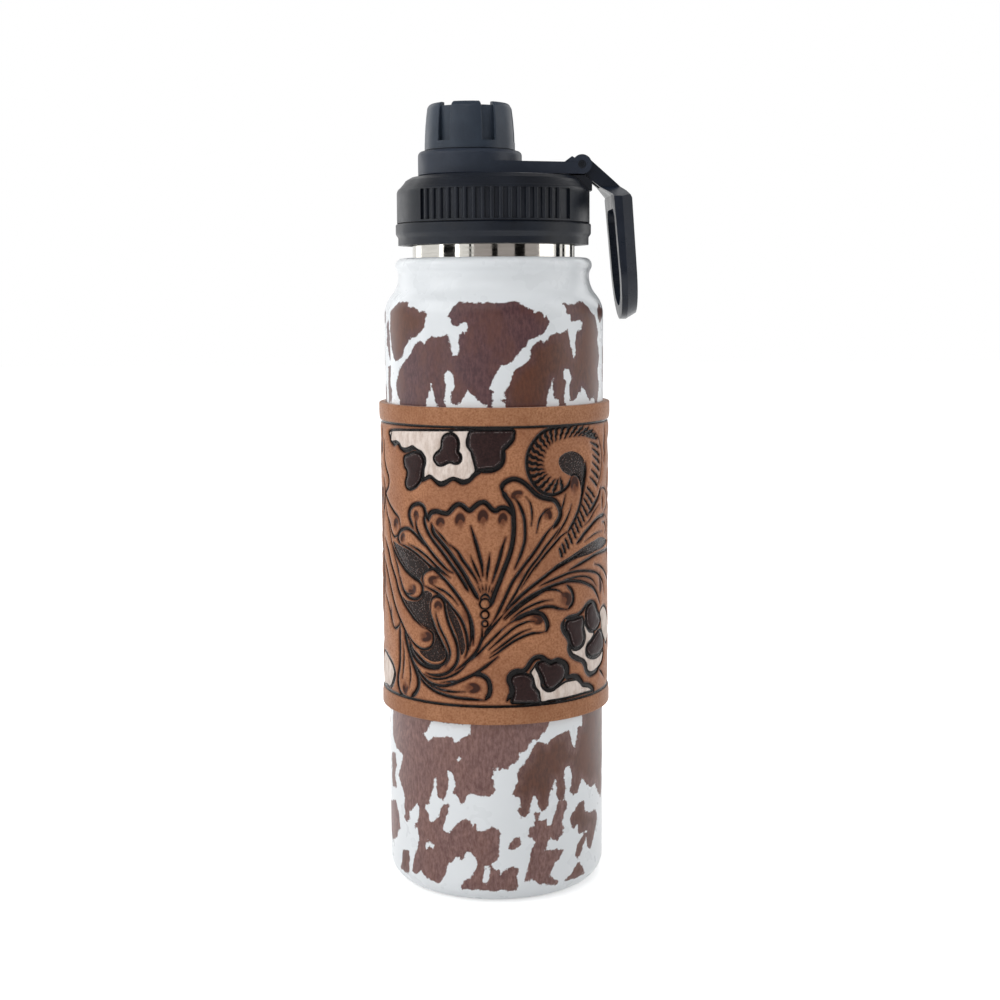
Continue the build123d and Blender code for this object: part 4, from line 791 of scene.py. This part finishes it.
def shell_profile():
    """The shell's outside from the standing ring up to the bead, and then its inside back down."""
    shoulder = math.degrees(math.acos(1 - (BODY_RADIUS - GROOVE_RADIUS) / (2 * SHOULDER_ROUNDING)))
    bead = math.degrees(math.acos(1 - (BEAD_RADIUS - GROOVE_RADIUS) / (BEAD_LEAD + BEAD_ROUNDING)))
    turn = SHOULDER_FOOT + 2 * SHOULDER_ROUNDING * math.sin(math.radians(shoulder))
    bead_level = turn + (BEAD_LEAD + BEAD_ROUNDING) * math.sin(math.radians(bead))
    base_centre = (BODY_RADIUS - BASE_ROUNDING, BASE_ROUNDING)
    shoulder_centre = (BODY_RADIUS - SHOULDER_ROUNDING, SHOULDER_FOOT)
    bead_centre = (BEAD_RADIUS - BEAD_ROUNDING, bead_level)
    groove_centre = (GROOVE_RADIUS + SHOULDER_ROUNDING, turn)

    outside = arc(base_centre, BASE_ROUNDING, -90, 0, 14)
    levels = np.linspace(BASE_ROUNDING, SHOULDER_FOOT, SHELL_LEVELS)
    outside += [(BODY_RADIUS, level) for level in levels[1:-1]]
    outside += arc(shoulder_centre, SHOULDER_ROUNDING, 0, shoulder, 14)
    outside += arc(groove_centre, SHOULDER_ROUNDING, 180 + shoulder, 180, 12)[1:]
    outside += arc((GROOVE_RADIUS + BEAD_LEAD, turn), BEAD_LEAD, 180, 180 - bead, 8)[1:]
    outside += arc(bead_centre, BEAD_ROUNDING, -bead, 90, 14)[1:]

    top = bead_level + BEAD_ROUNDING
    inside = [(NECK_RADIUS, top), (NECK_RADIUS, top - STEEL), (bead_centre[0], top - STEEL)]
    inside += arc(bead_centre, BEAD_ROUNDING - STEEL, 60, 0, 4)
    inside += [(GROOVE_RADIUS - STEEL, turn), (BODY_RADIUS - STEEL, SHOULDER_FOOT)]
    inside += arc(base_centre, BASE_ROUNDING - STEEL, 0, -90, 8)
    inside += [(PAN_RADIUS, STEEL), (PAN_RADIUS, 0.0)]
    return outside, inside


def build_shell():
    outside, inside = shell_profile()
    profile = np.array(outside + inside)
    turns = np.radians(np.linspace(-180, 180, SHELL_COLUMNS, endpoint=False))
    points = round_wall(profile[:, :1], profile[:, 1:], turns) * MM
    index = np.arange(len(profile) * SHELL_COLUMNS).reshape(-1, SHELL_COLUMNS)
    faces = quads(np.pad(index, (0, 1), mode="wrap"))
    piece = new_mesh("enamel_shell", points.reshape(-1, 3).tolist(), faces)
    piece.data.materials.append(enamel("shell_enamel"))

    # The print at the front, with its copy at the back
    count = len(outside)
    wall = Wall(turns * BODY_RADIUS, profile[:count, 1], PRINT_REACH)
    half_round = math.pi * BODY_RADIUS
    shifts = (0.0, half_round, -half_round)
    holes = repeated([on_wall(hole, BODY_RADIUS) for hole in HOLES], shifts)
    for name, shade in (("plum", 0), ("umber", 1)):
        outlines = [on_wall(outline, BODY_RADIUS) for kind, *outline in PATCHES if kind == shade]
        values = np.full(index.shape, -PRINT_REACH)
        values[:count] = wall.fill(repeated(outlines, shifts), holes)
        keep_attribute(piece, name, values)
    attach(piece, "bottle")
    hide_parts("outer_shell")


# ---------------- the tooled leather sleeve

# The rope's ticks: places along its edges, how far a tick swings, and its half widths from the
# outer edge inwards
ROPE_RUNS = (
    (np.arange(0.15, 10.9, 0.5), 1.1, (0.34, 0.58, 0.58, 0.52, 0.38, 0.28, 0.14)),
    (np.arange(11.05, 16.2, 0.76), 0.4, (0.36, 0.56, 0.5, 0.42, 0.34, 0.26, 0.14)),
    (np.arange(16.7, 24.0, 0.62), 0.7, (0.32, 0.52, 0.5, 0.42, 0.46, 0.38, 0.22)),
)
TICK_SHARES = np.array([0.0, 0.17, 0.34, 0.51, 0.68, 0.84, 1.0])
TICK_ZIGZAG = np.array([0.0, 0.3, -0.2, 0.28, -0.18, 0.16, 0.0])
TICK_POINTS = 14


def rope_ticks():
    """The slanted zigzag cuts of the rope that winds round the spiral and down its tail."""
    outer, inner = (on_wall(edge, TOOLED_RADIUS) for edge in ROPE)
    finer = np.linspace(0, 1, TICK_POINTS)
    for places, swing, half_widths in ROPE_RUNS:
        for start, end in zip(stations(outer, places), stations(inner, places)):
            run = end - start
            side = np.array([-run[1], run[0]]) / np.hypot(*run) * swing
            bent = start + TICK_SHARES[:, None] * run + TICK_ZIGZAG[:, None] * side
            tick = np.column_stack([np.interp(finer, TICK_SHARES, line) for line in bent.T])
            yield tick, np.interp(finer, TICK_SHARES, half_widths)


def sleeve_heights():
    """The levels of the sleeve's points: close in the tooled field and round the edges."""
    edge = [EDGE_ROUNDING * (1 - math.cos(a)) for a in np.radians((0, 30, 60, 90))]
    low_edge = [SLEEVE_FOOT + z for z in edge]
    high_edge = [SLEEVE_TOP - z for z in reversed(edge)]
    return np.concatenate([
        low_edge,
        np.arange(low_edge[-1] + PLAIN_STEP, BORDER_LOW - 1.6, PLAIN_STEP),
        np.arange(BORDER_LOW - 1.3, BORDER_HIGH + 1.3, TOOLED_STEP),
        np.arange(BORDER_HIGH + 1.6, high_edge[0] - 0.5, PLAIN_STEP),
        high_edge,
    ])


def cut_fields(wall, shifts):
    """The distance from each cut, and from the bold ones alone, less the cut's half width."""
    cut, bevel = wall.field(), wall.field()
    for width, *numbers in CUTS:
        stroke = smooth(on_wall(numbers, TOOLED_RADIUS), False)
        way = np.concatenate([[0.0], np.cumsum(np.hypot(*np.diff(stroke, axis=0).T))])
        fade = BROAD_FADE if width >= BROAD else min(FADE_SHARE * way[-1], LONGEST_FADE)
        to_end = np.minimum(way, way[-1] - way)
        taper = np.minimum(THICKEST, THINNEST + THICKENING * to_end / fade)
        for copy in repeated([stroke], shifts):
            for field in (cut, bevel) if width >= BOLD else (cut,):
                wall.near(field, copy, half_widths=taper * (width * PIXEL_MM) / 2)
    for tick, half_widths in rope_ticks():
        for copy in repeated([tick], shifts):
            wall.near(cut, copy, half_widths=half_widths)
    return cut, bevel


def stamped_fields(u, v, cut, bevel, shifts):
    """The cuts with beads' rings, the burnishing and painted shade, the stamped hollows and beads.
    """
    # Burnishing and painted shade beside the bold cuts
    shade_and_burnish = 0.5 * np.exp(-np.clip(bevel, 0, None) / 0.7)
    dimple, dome = np.zeros(u.shape), np.zeros(u.shape)
    for move in shifts:
        def beside(azimuth):
            return u - math.radians(azimuth) * TOOLED_RADIUS - move

        # Each hollow has a darker centre, and a rim of painted shade that is darkest to one side
        for azimuth, z, wide, tall, shaded_side in SPOTS:
            x, y = beside(azimuth) / wide, (v - z) / tall
            away = np.hypot(x, y)
            lean = x * math.cos(math.radians(shaded_side)) + y * math.sin(math.radians(shaded_side))
            rim = 1.5 * np.exp(-((away - 0.72) / 0.5) ** 2) * (0.1 + 0.9 * rise(lean, -0.7, 0.6))
            shade_and_burnish = np.maximum(shade_and_burnish, np.maximum(rim, 0.72 * np.exp(-(away / 0.8) ** 2)))
            dimple = np.maximum(dimple, np.exp(-1.3 * away ** 2))
        for azimuth, z, wide, tall in SHADES:
            away = (beside(azimuth) / wide) ** 2 + ((v - z) / tall) ** 2
            shade_and_burnish = np.maximum(shade_and_burnish, 0.55 * np.exp(-0.9 * away))
        for azimuth, z, size in BEADS:
            away = np.hypot(beside(azimuth), v - z)
            dome = np.maximum(dome, np.sqrt(np.clip(1 - (away / size) ** 2, 0, 1)))
            cut = np.minimum(cut, np.abs(away - size - 0.2) - 0.3)
    return cut, shade_and_burnish, dimple, dome


def build_sleeve():
    half_gap = math.degrees(SEAM_WIDTH / 2 / SLEEVE_BORE)
    azimuths = np.linspace(-180 + half_gap, 180 - half_gap, SLEEVE_COLUMNS)
    from_front = np.abs(azimuths)
    heights = sleeve_heights()
    wall = Wall(np.radians(azimuths) * TOOLED_RADIUS, heights, CUT_REACH)
    shift = math.radians(REPEAT) * TOOLED_RADIUS
    shifts = (0.0, shift, -shift)

    def filled(rows):
        outlines = [smooth(on_wall(row, TOOLED_RADIUS), True) for row in rows]
        return wall.fill(repeated(outlines, shifts))

    cut, bevel = cut_fields(wall, shifts)
    ground, blot, cream = filled(GROUNDS), filled(BLOBS), filled(CREAMS)
    cream = np.minimum(cream, -blot)
    cut = np.minimum(cut, np.abs(blot + BLOT_LINE[0]) - BLOT_LINE[1])
    line = np.abs(cream + CREAM_LINE[0]) - CREAM_LINE[1]
    cut = np.minimum(cut, np.where(blot < 0.2, line, CUT_REACH))
    u, v = np.meshgrid(wall.across, heights)
    cut, shade_and_burnish, dimple, dome = stamped_fields(u, v, cut, bevel, shifts)

    # The tooling stops at the borders and beside the seam, in a cut line
    tooled = rise(heights, BORDER_LOW - 0.4, BORDER_LOW + 0.5)
    tooled = tooled * (1 - rise(heights, BORDER_HIGH - 0.5, BORDER_HIGH + 0.4))
    field_share = tooled[:, None] * rise(SEAM_MARGIN - from_front, 0.0, 1.0)[None, :]
    apart = (1 - field_share) * CUT_REACH
    cut = cut + apart
    ground, blot, cream = ground - apart, blot - apart, cream - apart
    line = np.minimum(np.abs(v - BORDER_LOW), np.abs(v - BORDER_HIGH)) - BORDER_LINE
    cut = np.minimum(cut, line)
    line = np.abs(from_front - SEAM_MARGIN) * math.radians(1) * TOOLED_RADIUS - SEAM_LINE
    cut = np.minimum(cut, np.where(tooled[:, None] > 0.5, line, CUT_REACH))

    # The relief of the tooling on a wall that is a little uneven, and none at the edges
    uneven = 0.05 * np.sin(0.9 * u + 1.3 * np.sin(0.31 * v)) * np.sin(0.7 * v + np.sin(0.4 * u))
    relief = (uneven * 0.6
              - BEVEL_DEPTH * np.exp(-(np.clip(cut, 0, None) / 1.05) ** 2)
              - CUT_DEPTH * rise(-cut, -0.15, 0.3)
              - GROUND_DEPTH * rise(ground, -0.1, 0.45)
              - CREAM_DEPTH * rise(cream, -0.1, 0.4) + BLOT_RISE * rise(blot, 0.2, 1.4)
              - HOLLOW_DEPTH * dimple * rise(cut, 0.0, 0.5) + BEAD_RISE * dome)
    share = rise(heights, SLEEVE_FOOT + EDGE_ROUNDING, SLEEVE_FOOT + 2.0)
    share = share * (1 - rise(heights, SLEEVE_TOP - 2.0, SLEEVE_TOP - EDGE_ROUNDING))
    radius = SLEEVE_RADIUS - (SLEEVE_RADIUS - TOOLED_RADIUS) * field_share
    radius = radius + np.clip(relief, DEEPEST, HIGHEST) * share[:, None]

    # The rounded edges, above and below and along the seam
    rounding = np.array([1 - math.sin(a) for a in np.radians((0, 30, 60, 90))]) * EDGE_ROUNDING
    radius[:4] -= rounding[:, None]
    radius[-4:] -= rounding[::-1][:, None]
    from_seam = (180 - half_gap - from_front) * math.radians(1) * SLEEVE_RADIUS
    seam_edge = np.clip(1 - from_seam / EDGE_ROUNDING, 0, 1)
    radius -= (EDGE_ROUNDING * (1 - np.sqrt(1 - np.minimum(seam_edge, 0.98) ** 2)))[None, :]

    turns = np.radians(azimuths)
    outer = round_wall(radius, heights[:, None], turns)
    low, high = (round_wall(SLEEVE_BORE, level, turns) for level in (SLEEVE_FOOT, SLEEVE_TOP))
    points = np.concatenate([outer.reshape(-1, 3), high, low]) * MM
    index = np.arange(len(points)).reshape(-1, SLEEVE_COLUMNS)
    faces = quads(np.vstack([index, index[:1]]))
    faces += [index[:, 0].tolist(), index[::-1, -1].tolist()]
    flat_faces = range((len(heights) - 1) * (SLEEVE_COLUMNS - 1), len(faces))
    piece = new_mesh("tooled_sleeve", points.tolist(), faces, flat_faces)
    piece.data.materials.append(leather("tooled_leather"))

    # The fields for the material, each with the value that it has on the sleeve's inside
    fields = {
        "cut": (cut, CUT_REACH),
        "ground": (ground, -CUT_REACH),
        "cream": (cream, -CUT_REACH),
        "blot": (blot, -CUT_REACH),
        "shade_and_burnish": (shade_and_burnish * field_share, 0.0),
        # The plain borders, and the beads' domes, lighter there as a painted highlight
        "border": (np.maximum(1 - field_share, 0.9 * dome), 1.0),
    }
    for name, (values, inner) in fields.items():
        keep_attribute(piece, name, np.vstack([values, np.full((2, SLEEVE_COLUMNS), inner)]))
    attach(piece, "bottle")
    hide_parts("leather_sleeve")


build_shell()
build_sleeve()


# ---------------- floor, background and light

WHITE = (1.0, 1.0, 1.0, 1.0)
WORLD_LEVEL = 0.28
BOTTLE_MIDDLE = (0.0, 0.0, 0.14)
# Place, width, height and watts of each lamp
LAMPS = {
    "key_light": ((-1.15, -0.5, 0.6), 0.8, 1.3, 8.4),
    "fill_light": ((1.2, -0.25, 0.45), 0.6, 1.2, 4.1),
    "left_rim_light": ((-0.8, 0.75, 0.5), 0.4, 1.0, 1.4),
    "right_rim_light": ((0.85, 0.7, 0.45), 0.4, 1.0, 1.0),
    "front_light": ((-0.35, -1.3, 0.9), 0.9, 0.9, 4.6),
    "top_light": ((0.1, 0.1, 1.3), 1.0, 0.8, 5.0),
}
# Azimuth and width of each dark card, in degrees
DARK_CARDS = ((-66, 20), (-34, 3), (0, 8), (35, 15), (72, 4), (114, 6), (163, 14))
CARD_FOOT, CARD_TOP = 0.007, 1.15
CAMERA_PLACE = (-0.0184, -0.5769, 0.20046)
CAMERA_TURNS = ((-2.0, "Z"), (82.98, "X"), (-0.30, "Z"))


def square(half, z):
    return [(-half, -half, z), (half, -half, z), (half, half, z), (-half, half, z)], [(0, 1, 2, 3)]


def studio_floor():
    """A plain pale floor that takes the bottle's shadow and turns white further off."""
    look = Look("studio_floor")
    seen = look.seen()
    x, y, _ = look.node("SeparateXYZ", {0: look.place}).outputs
    away = look.math("SQRT", look.add(look.times(x, x), look.times(y, y)))
    sheet = look.mix(look.noise(40.0, 3.0), (232, 232, 232), (238, 238, 238))
    strength = look.ramp(away, 0.12, 0.32, 0.5, 1.0)
    paper = look.node("BsdfDiffuse", {"Color": sheet})
    glow = look.node("Emission", {"Color": WHITE, "Strength": strength})
    both = look.node("AddShader", {0: paper.outputs[0], 1: glow.outputs[0]})
    look.wear(look.node("MixShader", {0: seen, 1: paper.outputs[0], 2: both.outputs[0]}))
    floor = new_mesh("studio_floor", *square(half=4, z=0), [0])
    floor.data.materials.append(look.owner)


def studio_world():
    """A world that is white to the eye and a plain soft light on the bottle."""
    world = bpy.context.scene.world = bpy.data.worlds.new("studio_world")
    nodes = Nodes(world, "OutputWorld")
    lit, shown = (nodes.node("Background", {"Color": WHITE, "Strength": level})
                  for level in (WORLD_LEVEL, 1.0))
    nodes.wear(nodes.node("MixShader", {0: nodes.seen(), 1: lit.outputs[0], 2: shown.outputs[0]}))


def area_light(name, place, width, height, watts):
    """A soft lamp that faces the bottle."""
    lamp = bpy.data.lights.new(name, "AREA")
    lamp.shape = "RECTANGLE"
    lamp.size, lamp.size_y, lamp.energy = width, height, watts
    holder = bpy.data.objects.new(name, lamp)
    holder.location = place
    aim = Vector(BOTTLE_MIDDLE) - Vector(place)
    holder.rotation_euler = aim.to_track_quat("-Z", "Y").to_euler()
    bpy.context.scene.collection.objects.link(holder)
    return holder


def studio_card(name, points, faces, level):
    """A card that only glossy surfaces see, as in a photographer's studio."""
    look = Look(name)
    first, second = (level, 0.97 * level, 0.94 * level, 1.0), (1.1 * level, level, level, 1.0)
    shade = look.mix(look.noise(3.0), first, second)
    look.wear(look.node("Emission", {"Color": shade, "Strength": 1.0}))
    card = new_mesh(name, points, faces, range(len(faces)))
    card.data.materials.append(look.owner)
    for rays in ("camera", "diffuse", "shadow", "transmission"):
        setattr(card, "visible_" + rays, False)


def upright_card(name, start, end, level, distance):
    """A curved card that stands round the bottle from one azimuth to another."""
    turns = np.radians(np.linspace(start, end, 2 + int(abs(end - start) / 8)))
    points = [(distance * math.sin(a), -distance * math.cos(a), z)
              for a in turns for z in (CARD_FOOT, CARD_TOP)]
    faces = [(2 * k, 2 * k + 2, 2 * k + 3, 2 * k + 1) for k in range(len(turns) - 1)]
    studio_card(name, points, faces, level)


studio_floor()
studio_world()
for name, (place, width, height, watts) in LAMPS.items():
    lamp = area_light(name, place, width, height, watts)
    lamp.visible_glossy = name != "top_light"
for number, (azimuth, width) in enumerate(DARK_CARDS):
    ends = azimuth - width / 2, azimuth + width / 2
    upright_card(f"dark_card_{number}", *ends, level=0.005, distance=1.3)
upright_card("room_card", -29, 92, level=0.42, distance=1.4)
studio_card("ceiling_card", *square(half=1.4, z=1.5), level=0.25)

# The photograph's view
camera_data = bpy.data.cameras.new("camera")
camera_data.sensor_width = 36.0
camera_data.lens = 61.67
camera_data.clip_start = 0.01
camera = bpy.data.objects.new("camera", camera_data)
view = Matrix.Translation(CAMERA_PLACE)
for degrees, axis in CAMERA_TURNS:
    view = view @ Matrix.Rotation(math.radians(degrees), 4, axis)
camera.matrix_world = view
bpy.context.scene.collection.objects.link(camera)
bpy.context.scene.camera = camera
bpy.context.scene.view_settings.view_transform = "Standard"
